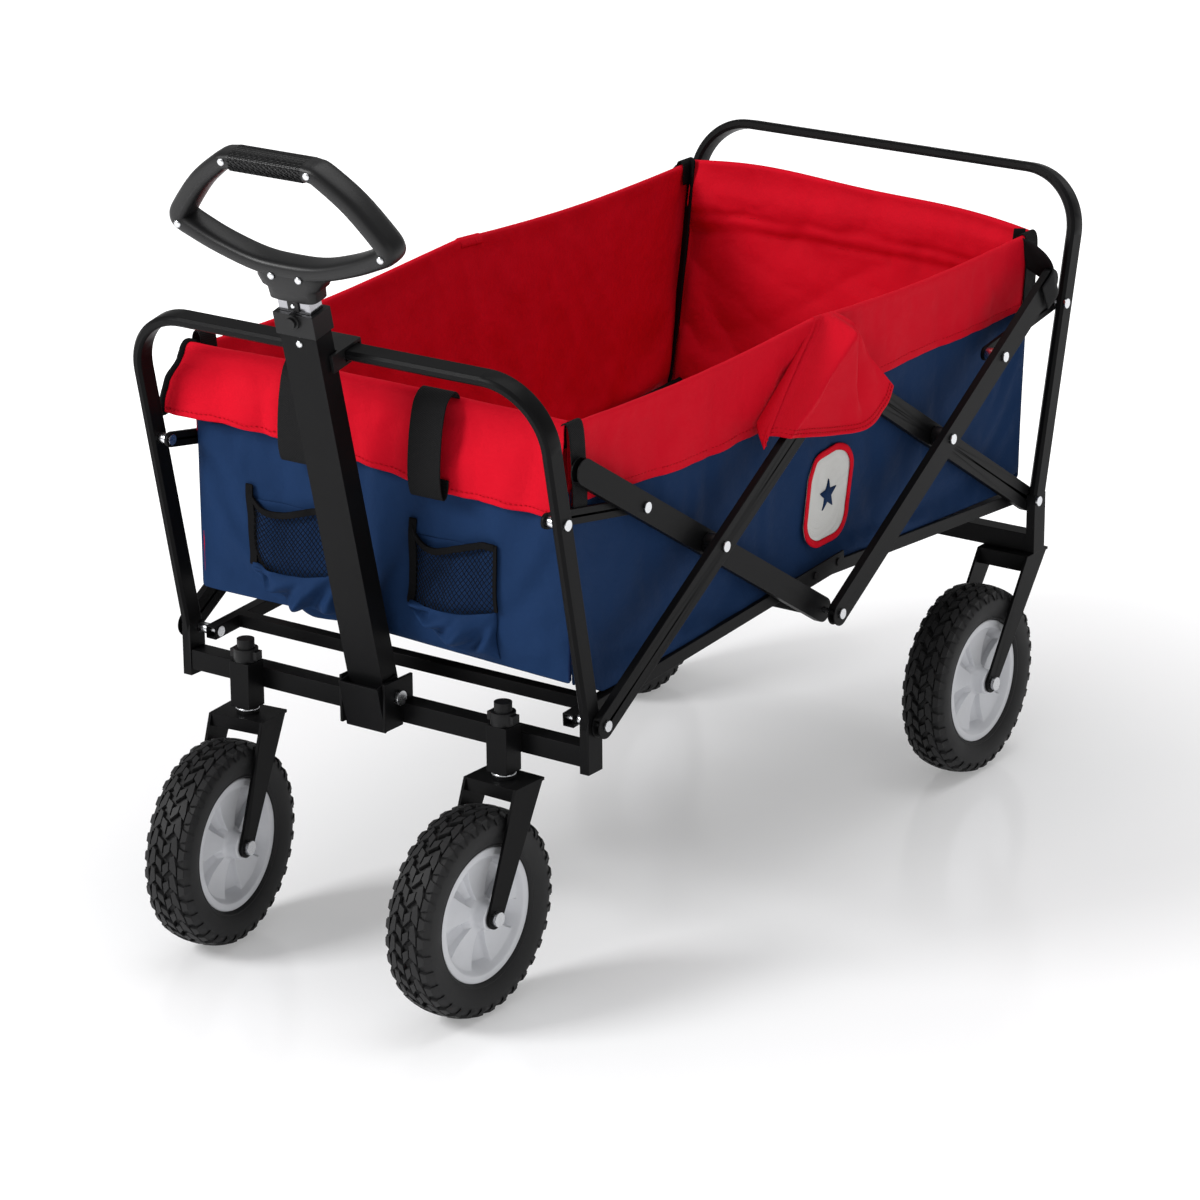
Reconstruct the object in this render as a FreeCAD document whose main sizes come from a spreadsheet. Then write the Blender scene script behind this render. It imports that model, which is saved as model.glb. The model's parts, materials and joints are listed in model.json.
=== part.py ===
import FreeCAD, Part
import os
import re
import Sketcher

# Folding pull wagon. +X is the front (the handle's end), +Y the left side, +Z up.
# Lengths are millimetres and angles degrees. Positions written below are measured from
# the middle of the side scissors; middle_x shifts them so that the origin lies on the
# ground, at the centre of the whole wagon's box.

SIZES = {
    "middle_x": -42.87,
    # side scissors
    "bar_angle": 31.6, "foot_z": 278.4, "outer_arm": 227, "inner_arm": 241, "tip_arm": 229,
    "link_arm": 118, "bar_width": 25, "bar_thick": 8, "tube_wall": 1.2,
    "outer_bar_y": 242, "inner_bar_y": 222,
    "pin_radius": 3, "pin_fit": 0.05, "pin_head": 5.2, "pin_head_thick": 2.2, "pin_seat": 0.3,
    "spacer_radius": 10, "cross_tube_radius": 8,
    # end hoops
    "hoop_half": 236, "hoop_wide": 22, "hoop_thick": 10, "hoop_bend": 62, "hoop_wall": 1.5,
    "leg_x": 404, "front_foot_z": 232.5, "rear_foot_z": 221,
    "front_lean": 11.66, "rear_lean": 13.2, "front_hoop_z": 614, "rear_hoop_z": 611,
    "hoop_link_x": 446, "hoop_link_z": 482, "link_thick": 4, "link_width": 15,
    "front_link_y": 217.2, "rear_link_y": 226,
    # crossbars
    "crossbar": 20, "crossbar_wall": 1.5, "front_crossbar_z": 249, "rear_crossbar_z": 231,
    # casters and wheels
    "caster_y": 152.5, "caster_stem_x": 425.5, "trail": 53.5, "sleeve": 23,
    "sleeve_low": 222, "sleeve_high": 268, "stem_radius": 8, "ring_radius": 11,
    "left_caster_turn": -1.6, "right_caster_turn": 6,
    "rear_wheel_y": 209.3, "rear_wheel_x": 315.7,
    "tyre_radius": 100, "tyre_half": 24.35, "bead_radius": 62, "flange_radius": 65,
    "bead_half": 16.5, "rim_half": 18.5, "rim_wall": 4, "web_half": 9, "hub_half": 26.5,
    "axle_radius": 4, "hub_radius": 13, "fork_half": 30.5, "fork_plate": 3,
    "fork_top": 216, "rear_fork_top": 220.7, "skirt_low": 203, "arm_end": 10.5,
    # floor
    "floor_rise": 25.9, "rail_wide": 12, "rail_high": 13, "rail_y": 212, "rail_gap": 32,
    "rail_cross": 35, "board_thick": 6, "board_half": 211, "board_gap": 32,
    # fabric tub
    "tub_half_wide": 216, "tub_front_x": 406, "tub_rear_x": 400, "tub_skin": 4,
    "side_low": 312, "end_low": 304, "tub_top": 562,
    # pull handle
    "handle_x": 420, "handle_z": 266, "handle_lean": 13.47,
    "outer_tube_wide": 41, "outer_tube_deep": 22.5, "outer_tube_top": 391,
    "inner_tube_wide": 36, "inner_tube_deep": 17.5, "inner_tube_low": 90,
    "neck_low": 417, "grip_thick": 26, "grip_round": 6, "handle_pin": 4,
    "ear_y": 24, "ear_thick": 3, "shoe_front": 23, "shoe_plate": 2.4,
    "button_radius": 5, "button_z": 398.5,
}

doc = FreeCAD.newDocument("wagon")
sheet = doc.addObject("Spreadsheet::Sheet", "sizes")
for row, (alias, value) in enumerate(SIZES.items(), start=1):
    sheet.set(f"A{row}", alias)
    sheet.set(f"B{row}", str(value))
    sheet.setAlias(f"B{row}", alias)
doc.recompute()

SUBPARTS = []
ALIAS = re.compile(r"[a-z_]{2,}")

# places used by more than one sub-part
FOOT_X = "((outer_arm + inner_arm) * cos(bar_angle))"
CROSS_X = "(inner_arm * cos(bar_angle))"
CROSS_Z = "(foot_z + outer_arm * sin(bar_angle))"
TOP_Z = "(foot_z + (outer_arm + inner_arm) * sin(bar_angle))"
LOW_Z = "(foot_z + (outer_arm - inner_arm) * sin(bar_angle))"
HOLE = "(pin_radius + pin_fit)"
OUTER_FACE = "(outer_bar_y + bar_thick)"
INNER_FACE = "(inner_bar_y + bar_thick)"
LEG_IN = "(hoop_half - hoop_thick / 2)"
LEG_OUT = "(hoop_half + hoop_thick / 2)"
RAIL_IN = "(rail_y - rail_wide / 2)"
RAIL_OUT = "(rail_y + rail_wide / 2)"
RAIL_LONG = f"sqrt({FOOT_X}^2 + floor_rise^2)"
RAIL_ANGLE = f"atan(floor_rise / {FOOT_X})"
REAR_REACH = "(leg_x - rear_wheel_x)"


def formula(text):
    """Point each size's name in an expression at the spreadsheet."""
    return ALIAS.sub(lambda word: "sizes." + word[0] if word[0] in SIZES else word[0], str(text))


def number(text):
    """The value of an expression, in millimetres or degrees."""
    value = sheet.evalExpression(formula(text))
    return float(getattr(value, "Value", value))


def bind(thing, **expressions):
    for name, text in expressions.items():
        thing.setExpression(name, formula(text))


def put(thing, x="0", y="0", z="0"):
    for axis, text in zip("xyz", (x, y, z)):
        thing.setExpression(f"Placement.Base.{axis}", formula(text))


def turn(thing, axis, angle):
    thing.Placement = FreeCAD.Placement(FreeCAD.Vector(), FreeCAD.Rotation(FreeCAD.Vector(*axis), 1))
    thing.setExpression("Placement.Rotation.Angle", formula(angle))


def box(x, y, z, long, wide, high):
    """A box from its lowest corner and its three sides."""
    thing = doc.addObject("Part::Box", "Box")
    bind(thing, Length=long, Width=wide, Height=high)
    put(thing, x, y, z)
    return thing


def block(low, high):
    """A box between two corners."""
    sides = [f"({b}) - ({a})" for a, b in zip(low, high)]
    return box(*low, *sides)


def rod(axis, radius, start, end, first, second):
    """A cylinder along X, Y or Z; first and second place its axis on the other two."""
    thing = doc.addObject("Part::Cylinder", "Rod")
    bind(thing, Radius=radius, Height=f"({end}) - ({start})")
    if axis == "Y":
        thing.Placement.Rotation = FreeCAD.Rotation(FreeCAD.Vector(1, 0, 0), -90)
        put(thing, first, start, second)
    elif axis == "X":
        thing.Placement.Rotation = FreeCAD.Rotation(FreeCAD.Vector(0, 1, 0), 90)
        put(thing, start, first, second)
    else:
        put(thing, first, second, start)
    return thing


def joined(*things):
    if len(things) == 1:
        return things[0]
    thing = doc.addObject("Part::MultiFuse", "Joined")
    thing.Shapes = list(things)
    return thing


def group(*things):
    """Separate solids kept side by side in one sub-part."""
    thing = doc.addObject("Part::Compound", "Group")
    thing.Links = list(things)
    return thing


def cut(body, *tools):
    thing = doc.addObject("Part::Cut", "Cut")
    thing.Base = body
    thing.Tool = joined(*tools)
    return thing


def subpart(thing, node, x="0", y="0", z="0", axis=None, angle="0"):
    """Name a finished sub-part and place it, measured from the middle of the scissors."""
    if axis:
        turn(thing, axis, angle)
    put(thing, f"middle_x + ({x})", y, z)
    thing.Label = node
    SUBPARTS.append(thing)
    return thing


def plane(body, role):
    return next(feature for feature in body.Origin.OriginFeatures if feature.Role == role)


def sketch_on(body, role, name):
    sketch = body.newObject("Sketcher::SketchObject", name)
    sketch.AttachmentSupport = [(plane(body, role), "")]
    sketch.MapMode = "FlatFace"
    return sketch


def outline(sketch, corners):
    """A closed outline of straight lines, each corner held by the sizes."""
    points = [FreeCAD.Vector(number(a), number(b), 0) for a, b in corners]
    count = len(points)
    first = sketch.GeometryCount
    for index in range(count):
        sketch.addGeometry(Part.LineSegment(points[index], points[(index + 1) % count]))
    for index in range(count):
        line = first + index
        sketch.addConstraint(Sketcher.Constraint("Coincident", line, 2, first + (index + 1) % count, 1))
        for kind, text in zip(("DistanceX", "DistanceY"), corners[index]):
            slot = sketch.addConstraint(Sketcher.Constraint(kind, line, 1, number(text)))
            sketch.setExpression(f"Constraints[{slot}]", formula(text))


def pad(body, sketch, length, midplane=False):
    feature = body.newObject("PartDesign::Pad", "Pad")
    feature.Profile = sketch
    feature.Midplane = midplane
    bind(feature, Length=length)
    sketch.Visibility = False
    return feature


def plate(name, corners, thick):
    """A flat plate in the XZ plane, middled on Y."""
    body = doc.addObject("PartDesign::Body", name)
    sketch = sketch_on(body, "XZ_Plane", name + "_outline")
    outline(sketch, corners)
    pad(body, sketch, thick, midplane=True)
    return body


def revolved(name, corners):
    """A ring or wheel turned about Y: corners give (distance along Y, radius)."""
    body = doc.addObject("PartDesign::Body", name)
    sketch = sketch_on(body, "XY_Plane", name + "_profile")
    outline(sketch, [(radius, along) for along, radius in corners])
    feature = body.newObject("PartDesign::Revolution", "Turned")
    feature.Profile = sketch
    feature.ReferenceAxis = (sketch, ["V_Axis"])
    feature.Angle = 360
    return body


SIDES = (("left", 1), ("right", -1))
ENDS = (("front", 1), ("rear", -1))


def mirrored(low, high, sign):
    """Turn a span along Y on the left side into the same span on the given side."""
    return (low, high) if sign > 0 else (f"-({high})", f"-({low})")


def side_rod(sign, radius, low, high, x, z):
    start, end = mirrored(low, high, sign)
    return rod("Y", radius, start, end, x, z)


def side_block(sign, x, y, z):
    start, end = mirrored(*y, sign)
    return block((x[0], start, z[0]), (x[1], end, z[1]))


# --- end hoops -----------------------------------------------------------------------

def hoop_path(body, top):
    """Up one leg, over the top and down the other, with round corners."""
    sketch = sketch_on(body, "YZ_Plane", "path")
    half, bend, high = number("hoop_half"), number("hoop_bend"), number(top)
    low_corner = FreeCAD.Vector(half, 0, 0)
    left_bend = FreeCAD.Vector(half - bend, high - bend, 0)
    right_bend = FreeCAD.Vector(bend - half, high - bend, 0)
    quarter = FreeCAD.Units.parseQuantity("90 deg").getValueAs("rad")
    up = FreeCAD.Vector(0, 0, 1)
    sketch.addGeometry(Part.LineSegment(low_corner, FreeCAD.Vector(half, high - bend, 0)))
    sketch.addGeometry(Part.ArcOfCircle(Part.Circle(left_bend, up, bend), 0, quarter))
    sketch.addGeometry(Part.LineSegment(FreeCAD.Vector(half - bend, high, 0),
                                        FreeCAD.Vector(bend - half, high, 0)))
    sketch.addGeometry(Part.ArcOfCircle(Part.Circle(right_bend, up, bend), quarter, 2 * quarter))
    sketch.addGeometry(Part.LineSegment(FreeCAD.Vector(-half, high - bend, 0),
                                        FreeCAD.Vector(-half, 0, 0)))
    for kind, line in (("Vertical", 0), ("Horizontal", 2), ("Vertical", 4)):
        sketch.addConstraint(Sketcher.Constraint(kind, line))
    for first, first_end, second, second_end in ((0, 2, 1, 1), (1, 2, 2, 1), (2, 2, 3, 1), (3, 2, 4, 1)):
        sketch.addConstraint(Sketcher.Constraint("Tangent", first, first_end, second, second_end))
    sketch.addConstraint(Sketcher.Constraint("Equal", 1, 3))
    held = [
        (Sketcher.Constraint("Radius", 1, bend), "hoop_bend"),
        (Sketcher.Constraint("DistanceX", 0, 1, half), "hoop_half"),
        (Sketcher.Constraint("DistanceY", 0, 1, 0.0), "0"),
        (Sketcher.Constraint("DistanceX", 4, 2, -half), "-hoop_half"),
        (Sketcher.Constraint("DistanceY", 4, 2, 0.0), "0"),
        (Sketcher.Constraint("DistanceY", 2, 1, high), top),
    ]
    for constraint, text in held:
        slot = sketch.addConstraint(constraint)
        sketch.setExpression(f"Constraints[{slot}]", formula(text))
    return sketch


def tube_section(body, name, inset):
    """The flat tube's outline at the foot of the left leg, with cut corners."""
    sketch = sketch_on(body, "XY_Plane", name)
    wide = f"(hoop_wide / 2 - {inset})"
    thick = f"(hoop_thick / 2 - {inset})"
    trim = f"({thick} * 0.55)"
    corners = []
    for across, along in ((1, 1), (-1, 1), (-1, -1), (1, -1)):
        flat = (f"{across} * ({wide} - {trim})", f"hoop_half + {along} * {thick}")
        steep = (f"{across} * {wide}", f"hoop_half + {along} * ({thick} - {trim})")
        corners += [steep, flat] if across * along > 0 else [flat, steep]
    outline(sketch, corners)
    return sketch


def hoop(end, sign):
    """A bent flat tube on a leaning plane, with upright feet."""
    top = f"(({end}_hoop_z - foot_z) / cos({end}_lean))"
    body = doc.addObject("PartDesign::Body", end + "_bow")
    path = hoop_path(body, top)
    for kind, name, inset in (("AdditivePipe", "skin", "0"), ("SubtractivePipe", "bore", "hoop_wall")):
        section = tube_section(body, name + "_section", inset)
        pipe = body.newObject(f"PartDesign::{kind}", name)
        pipe.Profile = section
        pipe.Spine = path
    turn(body, (0, sign, 0), f"{end}_lean")
    put(body, f"{sign} * leg_x", "0", "foot_z")
    feet = []
    for _, side in SIDES:
        feet.append(side_block(side, (f"{sign} * leg_x - hoop_wide / 2", f"{sign} * leg_x + hoop_wide / 2"),
                               (LEG_IN, LEG_OUT), (f"{end}_foot_z", "foot_z + 6")))
    holes = []
    for _, side in SIDES:
        for x, z in ((FOOT_X, "foot_z"), ("hoop_link_x", "hoop_link_z")):
            holes.append(side_rod(side, HOLE, "hoop_half - hoop_thick", "hoop_half + hoop_thick",
                                  f"{sign} * {x}", z))
    subpart(cut(joined(body, *feet), *holes), f"{end}_hoop")


for end_name, end_sign in ENDS:
    hoop(end_name, end_sign)


# --- crossbars, sleeves, handle bracket ----------------------------------------------

def square_tube(x, y, z, side, wall):
    """A square tube along Y, from y[0] to y[1], middled on x and z."""
    outer = block((f"{x} - {side} / 2", y[0], f"{z} - {side} / 2"),
                  (f"{x} + {side} / 2", y[1], f"{z} + {side} / 2"))
    bore = block((f"{x} - {side} / 2 + {wall}", f"{y[0]} - 1", f"{z} - {side} / 2 + {wall}"),
                 (f"{x} + {side} / 2 - {wall}", f"{y[1]} + 1", f"{z} + {side} / 2 - {wall}"))
    return cut(outer, bore)


for end_name, end_sign in ENDS:
    subpart(square_tube(f"{end_sign} * leg_x", (f"-{LEG_IN}", LEG_IN), f"{end_name}_crossbar_z",
                        "crossbar", "crossbar_wall"), f"{end_name}_crossbar")

sleeves = []
for _, side in SIDES:
    shell = block(("caster_stem_x - sleeve / 2", f"{side} * caster_y - sleeve / 2", "sleeve_low"),
                  ("caster_stem_x + sleeve / 2", f"{side} * caster_y + sleeve / 2", "sleeve_high"))
    sleeves.append(cut(shell, rod("Z", "stem_radius + pin_fit", "sleeve_low - 1", "sleeve_high + 1",
                                  "caster_stem_x", f"{side} * caster_y")))
subpart(group(*sleeves), "caster_sleeves")

BAR_FRONT = "(leg_x + crossbar / 2)"
BAR_TOP = "(front_crossbar_z + crossbar / 2)"
ears = []
for _, side in SIDES:
    span = ("ear_y", "ear_y + ear_thick")
    ears.append(side_block(side, ("leg_x - 6", "handle_x + 16"), span, (BAR_TOP, "handle_z + 18")))
    ears.append(side_block(side, (BAR_FRONT, "handle_x + 21"), span, ("front_crossbar_z - 12", "handle_z + 18")))
ears.append(block(("leg_x - 6", "-ear_y - ear_thick", BAR_TOP),
                  ("leg_x - 4", "ear_y + ear_thick", "handle_z - 2")))
subpart(cut(joined(*ears), rod("Y", "handle_pin", "-ear_y - 9", "ear_y + 9", "handle_x", "handle_z")),
        "handle_bracket")


# --- scissor bars --------------------------------------------------------------------

def bar(way, length, width, thick, holes, wall=None):
    """A bar from its first pivot along +X or -X, with round ends; one face is at y = 0."""
    start, end = mirrored("0", length, way)
    body = [block((start, "0", f"-{width} / 2"), (end, thick, f"{width} / 2"))]
    for x in ("0", length):
        body.append(rod("Y", f"{width} / 2", "0", thick, f"{way} * {x}", "0"))
    tools = [rod("Y", HOLE, "-1", f"{thick} + 1", f"{way} * ({x})", "0") for x in holes]
    if wall:
        tools.append(block((f"{start} - {width}", wall, f"{wall} - {width} / 2"),
                           (f"{end} + {width}", f"{thick} - {wall}", f"{width} / 2 - {wall}")))
    return cut(joined(*body), *tools)


FOOT_BAR = "(outer_arm + inner_arm)"
TOP_BAR = "(inner_arm + tip_arm)"


def scissor_bar(node, side, way, face, x, z, length, holes):
    """A bar that rises from its lower pivot towards the front (+1) or the rear (-1)."""
    shape = bar(way, length, "bar_width", "bar_thick", holes, "tube_wall")
    y = face if side > 0 else f"-{face} - bar_thick"
    subpart(shape, node, x, y, z, (0, 1, 0), f"{-way} * bar_angle")


for end_name, end_sign in ENDS:
    foot_face = "outer_bar_y" if end_sign > 0 else "inner_bar_y"
    top_face = "inner_bar_y" if end_sign > 0 else "outer_bar_y"
    for side_name, side in SIDES:
        scissor_bar(f"{end_name}_foot_bar_{side_name}", side, -end_sign, foot_face,
                    f"{end_sign} * {FOOT_X}", "foot_z", FOOT_BAR, ("0", "outer_arm", FOOT_BAR))
        scissor_bar(f"{end_name}_top_bar_{side_name}", side, end_sign, top_face,
                    "0", LOW_Z, TOP_BAR, ("0", "inner_arm", "inner_arm + link_arm"))


def pin(side, x, z, low, high, head_low=True, head_high=True):
    """A rivet along Y between two faces, with a head outside each face."""
    pieces = [side_rod(side, "pin_radius", low, high, x, z)]
    if head_high:
        pieces.append(side_rod(side, "pin_head", high, f"{high} + pin_head_thick", x, z))
    if head_low:
        pieces.append(side_rod(side, "pin_head", f"{low} - 0.6", low, x, z))
    return joined(*pieces)


PIN_OUT = f"({OUTER_FACE} + pin_seat)"
LINK_X = "((inner_arm + link_arm) * cos(bar_angle))"
LINK_Z = f"({LOW_Z} + (inner_arm + link_arm) * sin(bar_angle))"
pins = {"front_foot_bar": [], "rear_foot_bar": [], "front_top_bar": [], "rear_top_bar": []}
spacers = {"front_foot_bar": [], "rear_foot_bar": []}
for _, side in SIDES:
    low = "inner_bar_y - pin_seat"
    pins["front_foot_bar"].append(pin(side, CROSS_X, CROSS_Z, low, PIN_OUT))
    pins["front_foot_bar"].append(pin(side, "0", TOP_Z, low, PIN_OUT))
    pins["rear_foot_bar"].append(pin(side, f"-{CROSS_X}", CROSS_Z, low, PIN_OUT))
    pins["front_top_bar"].append(pin(side, "0", LOW_Z, "inner_bar_y + 0.3", PIN_OUT, head_low=False))
    pins["front_top_bar"].append(pin(side, LINK_X, LINK_Z, "inner_bar_y + 0.3", f"{INNER_FACE} + pin_seat",
                                     head_low=False))
    collar = side_rod(side, "spacer_radius * 0.7", f"{INNER_FACE} + 0.5", "outer_bar_y - 0.3",
                      f"-{LINK_X}", LINK_Z)
    pins["rear_top_bar"].append(joined(collar, pin(side, f"-{LINK_X}", LINK_Z, f"{INNER_FACE} + 0.5",
                                                   PIN_OUT, head_low=False)))
    for node, x, z in (("front_foot_bar", CROSS_X, CROSS_Z), ("front_foot_bar", "0", TOP_Z),
                       ("rear_foot_bar", f"-{CROSS_X}", CROSS_Z)):
        ring = side_rod(side, "spacer_radius", f"{INNER_FACE} + 0.4", "outer_bar_y - 0.4", x, z)
        hole = side_rod(side, HOLE, INNER_FACE, "outer_bar_y", x, z)
        spacers[node].append(cut(ring, hole))
for node, pieces in pins.items():
    subpart(group(*pieces), node + "_rivets")
for node, pieces in spacers.items():
    subpart(group(*pieces), node + "_spacers")

TUBE_END = "(inner_bar_y - 0.4)"
subpart(group(rod("Y", "cross_tube_radius", f"-{TUBE_END}", TUBE_END, "0", LOW_Z)), "centre_cross_tube")

# flat links between each hoop and the bar that meets its top corner
LINK_RUN = f"(hoop_link_x - {LINK_X})"
LINK_RISE = f"(hoop_link_z - {LINK_Z})"
LINK_LONG = f"sqrt({LINK_RUN}^2 + {LINK_RISE}^2)"
for end_name, end_sign in ENDS:
    face = f"{end_name}_link_y"
    links = []
    for _, side in SIDES:
        link = bar(-end_sign, LINK_LONG, "link_width", "link_thick", ("0", LINK_LONG))
        put(link, "0", face if side > 0 else f"-{face} - link_thick", "0")
        links.append(link)
    subpart(group(*links), f"{end_name}_links", f"{end_sign} * hoop_link_x", "0", "hoop_link_z",
            (0, 1, 0), f"{-end_sign} * atan({LINK_RISE} / {LINK_RUN})")


# --- floor ---------------------------------------------------------------------------

def floor_half(end, sign):
    """Two rails, a cross tube and a board, running from the foot pivots to the middle."""
    reach = f"({RAIL_LONG} - rail_gap)"
    high = ("-rail_high / 2", "rail_high / 2")
    solid, bores = [], []
    for _, side in SIDES:
        solid.append(side_block(side, mirrored("-8", reach, -sign), (RAIL_IN, RAIL_OUT), high))
        bores.append(side_rod(side, HOLE, f"{RAIL_IN} - 1", f"{RAIL_OUT} + 1", "0", "0"))
        bores.append(side_block(side, mirrored("-9", f"{reach} + 1", -sign),
                                (f"{RAIL_IN} + tube_wall", f"{RAIL_OUT} - tube_wall"),
                                ("tube_wall - rail_high / 2", "rail_high / 2 - tube_wall")))
    cross = mirrored("rail_cross - rail_wide / 2", "rail_cross + rail_wide / 2", -sign)
    solid.append(block((cross[0], f"-{RAIL_IN} - 1", high[0]), (cross[1], f"{RAIL_IN} + 1", high[1])))
    floor_piece(cut(joined(*solid), *bores), f"{end}_floor_frame", sign)
    length = mirrored("8", f"{RAIL_LONG} - board_gap", -sign)
    board = block((length[0], "-board_half", "rail_high / 2 + 0.2"),
                  (length[1], "board_half", "rail_high / 2 + board_thick"))
    floor_piece(group(board), f"{end}_floor_board", sign)


def floor_piece(shape, node, sign):
    subpart(shape, node, f"{sign} * {FOOT_X}", "0", "foot_z", (0, 1, 0), f"{sign} * {RAIL_ANGLE}")


for end_name, end_sign in ENDS:
    floor_half(end_name, end_sign)

hinge_plates = []
for _, side in SIDES:
    face = (f"{RAIL_OUT} + 0.1", f"{RAIL_OUT} + 2")
    leaf = side_block(side, mirrored(f"{RAIL_LONG} - rail_gap - 22", f"{RAIL_LONG} + 52", -1), face,
                      ("-9", "9"))
    rivets = [side_rod(side, "pin_head * 0.8", face[1], f"{face[1]} + 1.2", f"-({x})", "0")
              for x in (f"{RAIL_LONG} - rail_gap - 12", RAIL_LONG, f"{RAIL_LONG} + 42")]
    hinge_plates.append(joined(leaf, *rivets))
floor_piece(group(*hinge_plates), "floor_hinge_plates", 1)


# --- bolts on the two end frames -----------------------------------------------------

def frame_bolts(end, sign):
    bolts = []
    link_low = f"{end}_link_y"
    for _, side in SIDES:
        x, z = f"{sign} * {FOOT_X}", "foot_z"
        outside = PIN_OUT if sign > 0 else f"({LEG_OUT} + pin_seat)"
        inside = f"({RAIL_IN} - pin_seat)"
        next_face = LEG_IN if sign > 0 else "inner_bar_y"
        sleeve = side_rod(side, "pin_head", f"{RAIL_OUT} + 0.3", f"{next_face} - 0.3", x, z)
        bolts.append(joined(pin(side, x, z, inside, outside), sleeve))
        x, z = f"{sign} * hoop_link_x", "hoop_link_z"
        sleeve = side_rod(side, "pin_head", f"{link_low} + link_thick + 0.2", f"{LEG_IN} - 0.2", x, z)
        bolts.append(joined(pin(side, x, z, f"({link_low} - 0.2)", f"({LEG_OUT} + 0.1)"), sleeve))
    return bolts


for end_name, end_sign in ENDS:
    bolt_list = frame_bolts(end_name, end_sign)
    if end_sign > 0:
        shank = rod("Y", "handle_pin - pin_fit", "-ear_y - ear_thick - 2.2", "ear_y + ear_thick + 2.2",
                    "handle_x", "handle_z")
        heads = [side_rod(side, "handle_pin + 3", "ear_y + ear_thick + 0.2", "ear_y + ear_thick + 4.2",
                          "handle_x", "handle_z") for _, side in SIDES]
        bolt_list.append(joined(shank, *heads))
    subpart(group(*bolt_list), f"{end_name}_frame_bolts")


# --- forks, axles, caps, wheels ------------------------------------------------------

def fork(top, reach, stem):
    """A folded fork about its own upright axis; reach is how far ahead the axle is."""
    drop = f"({top} - tyre_radius)"
    slant = f"sqrt({reach}^2 + {drop}^2)"
    along_x, along_z = f"(arm_end * {drop} / {slant})", f"(arm_end * {reach} / {slant})"
    arm = [("-20", top), ("21.5", top),
           (f"{reach} + {along_x}", f"tyre_radius + {along_z}"),
           (f"{reach} - {along_x}", f"tyre_radius - {along_z}")]
    pieces = [block(("-21.5", "-fork_half", f"{top} - fork_plate"), ("21.5", "fork_half", top)),
              block(("21.5 - fork_plate", "-fork_half", "skirt_low"), ("21.5", "fork_half", top))]
    for _, side in SIDES:
        blade = plate("blade", arm, "fork_plate")
        put(blade, "0", f"{side} * (fork_half - fork_plate / 2)", "0")
        pieces.append(blade)
        pieces.append(side_rod(side, "arm_end", "fork_half - fork_plate", "fork_half", reach, "tyre_radius"))
    if stem:
        pieces.append(rod("Z", "stem_radius", f"{top} - 1", "sleeve_high + 14", "0", "0"))
        pieces.append(rod("Z", "ring_radius", f"{top} - 1", "sleeve_low - 0.3", "0", "0"))
    hole = rod("Y", "axle_radius", "-fork_half - 1", "fork_half + 1", reach, "tyre_radius")
    return cut(joined(*pieces), hole)


def axle(x="0", y="0"):
    """A bolt with a head and a nut outside the fork's arms."""
    shank = rod("Y", "axle_radius - 0.02", f"{y} - fork_half - 1", f"{y} + fork_half + 1", x, "tyre_radius")
    ends = [rod("Y", "7", f"{y} - fork_half - 5", f"{y} - fork_half - 0.1", x, "tyre_radius"),
            rod("Y", "7", f"{y} + fork_half + 0.1", f"{y} + fork_half + 5", x, "tyre_radius")]
    return joined(shank, *ends)


def tyre():
    """A solid tyre about Y, narrow at the bead and full at the shoulder."""
    half = [("bead_half", "bead_radius + 0.2"), ("bead_half + 0.1", "flange_radius + 1"),
            ("tyre_half - 3", "flange_radius + 5"), ("tyre_half", "tyre_radius - 22"),
            ("tyre_half - 0.8", "tyre_radius - 8"), ("tyre_half - 7", "tyre_radius - 1")]
    other = [(f"-({along})", radius) for along, radius in half]
    return revolved("tyre", half + [("0", "tyre_radius")] + other[::-1])


def rim():
    """Hub, web and barrel in one, dished on both faces."""
    bore = "axle_radius + pin_fit"
    well = "bead_radius - rim_wall"
    half = [("hub_half", "hub_radius - 2"), ("web_half + 7", "hub_radius"), ("web_half + 2", "hub_radius + 1"),
            ("web_half", f"{well} - 3"), ("rim_half", well), ("rim_half", "flange_radius"),
            ("bead_half + 0.4", "flange_radius"), ("bead_half + 0.4", "bead_radius")]
    other = [(f"-({along})", radius) for along, radius in reversed(half)]
    return revolved("rim", [("-hub_half", bore), ("hub_half", bore)] + half + other)


def spun(shape, node, x, y, turn_angle=None):
    """Place a wheel part at its axle; casters turn about their stems."""
    if turn_angle is None:
        subpart(shape, node, x, y, "tyre_radius")
        return
    subpart(shape, node, f"caster_stem_x + trail * cos({turn_angle})", f"{y} + trail * sin({turn_angle})",
            "tyre_radius", (0, 0, 1), turn_angle)


for side_name, side in SIDES:
    swing = f"{side_name}_caster_turn"
    at_stem = ("caster_stem_x", f"{side} * caster_y", "0", (0, 0, 1), swing)
    subpart(fork("fork_top", "trail", stem=True), f"caster_fork_{side_name}", *at_stem)
    subpart(axle("trail"), f"caster_axle_{side_name}", *at_stem)
    cap = [rod("Z", "12", "sleeve_high + 0.5", "sleeve_high + 13", "0", "0"),
           rod("Z", "8.5", "sleeve_high + 13", "sleeve_high + 22", "0", "0"),
           block(("-5", "-15", "sleeve_high + 3"), ("5", "15", "sleeve_high + 11"))]
    seat = rod("Z", "stem_radius + 0.02", "sleeve_high", "sleeve_high + 14.1", "0", "0")
    subpart(cut(joined(*cap), seat), f"caster_cap_{side_name}", *at_stem)
    spun(tyre(), f"caster_tyre_{side_name}", "", f"{side} * caster_y", swing)
    spun(rim(), f"caster_rim_{side_name}", "", f"{side} * caster_y", swing)
    subpart(fork("rear_fork_top", REAR_REACH, stem=False), f"rear_fork_{side_name}",
            "-leg_x", f"{side} * rear_wheel_y")
    spun(tyre(), f"rear_tyre_{side_name}", "-rear_wheel_x", f"{side} * rear_wheel_y")
    spun(rim(), f"rear_rim_{side_name}", "-rear_wheel_x", f"{side} * rear_wheel_y")
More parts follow.
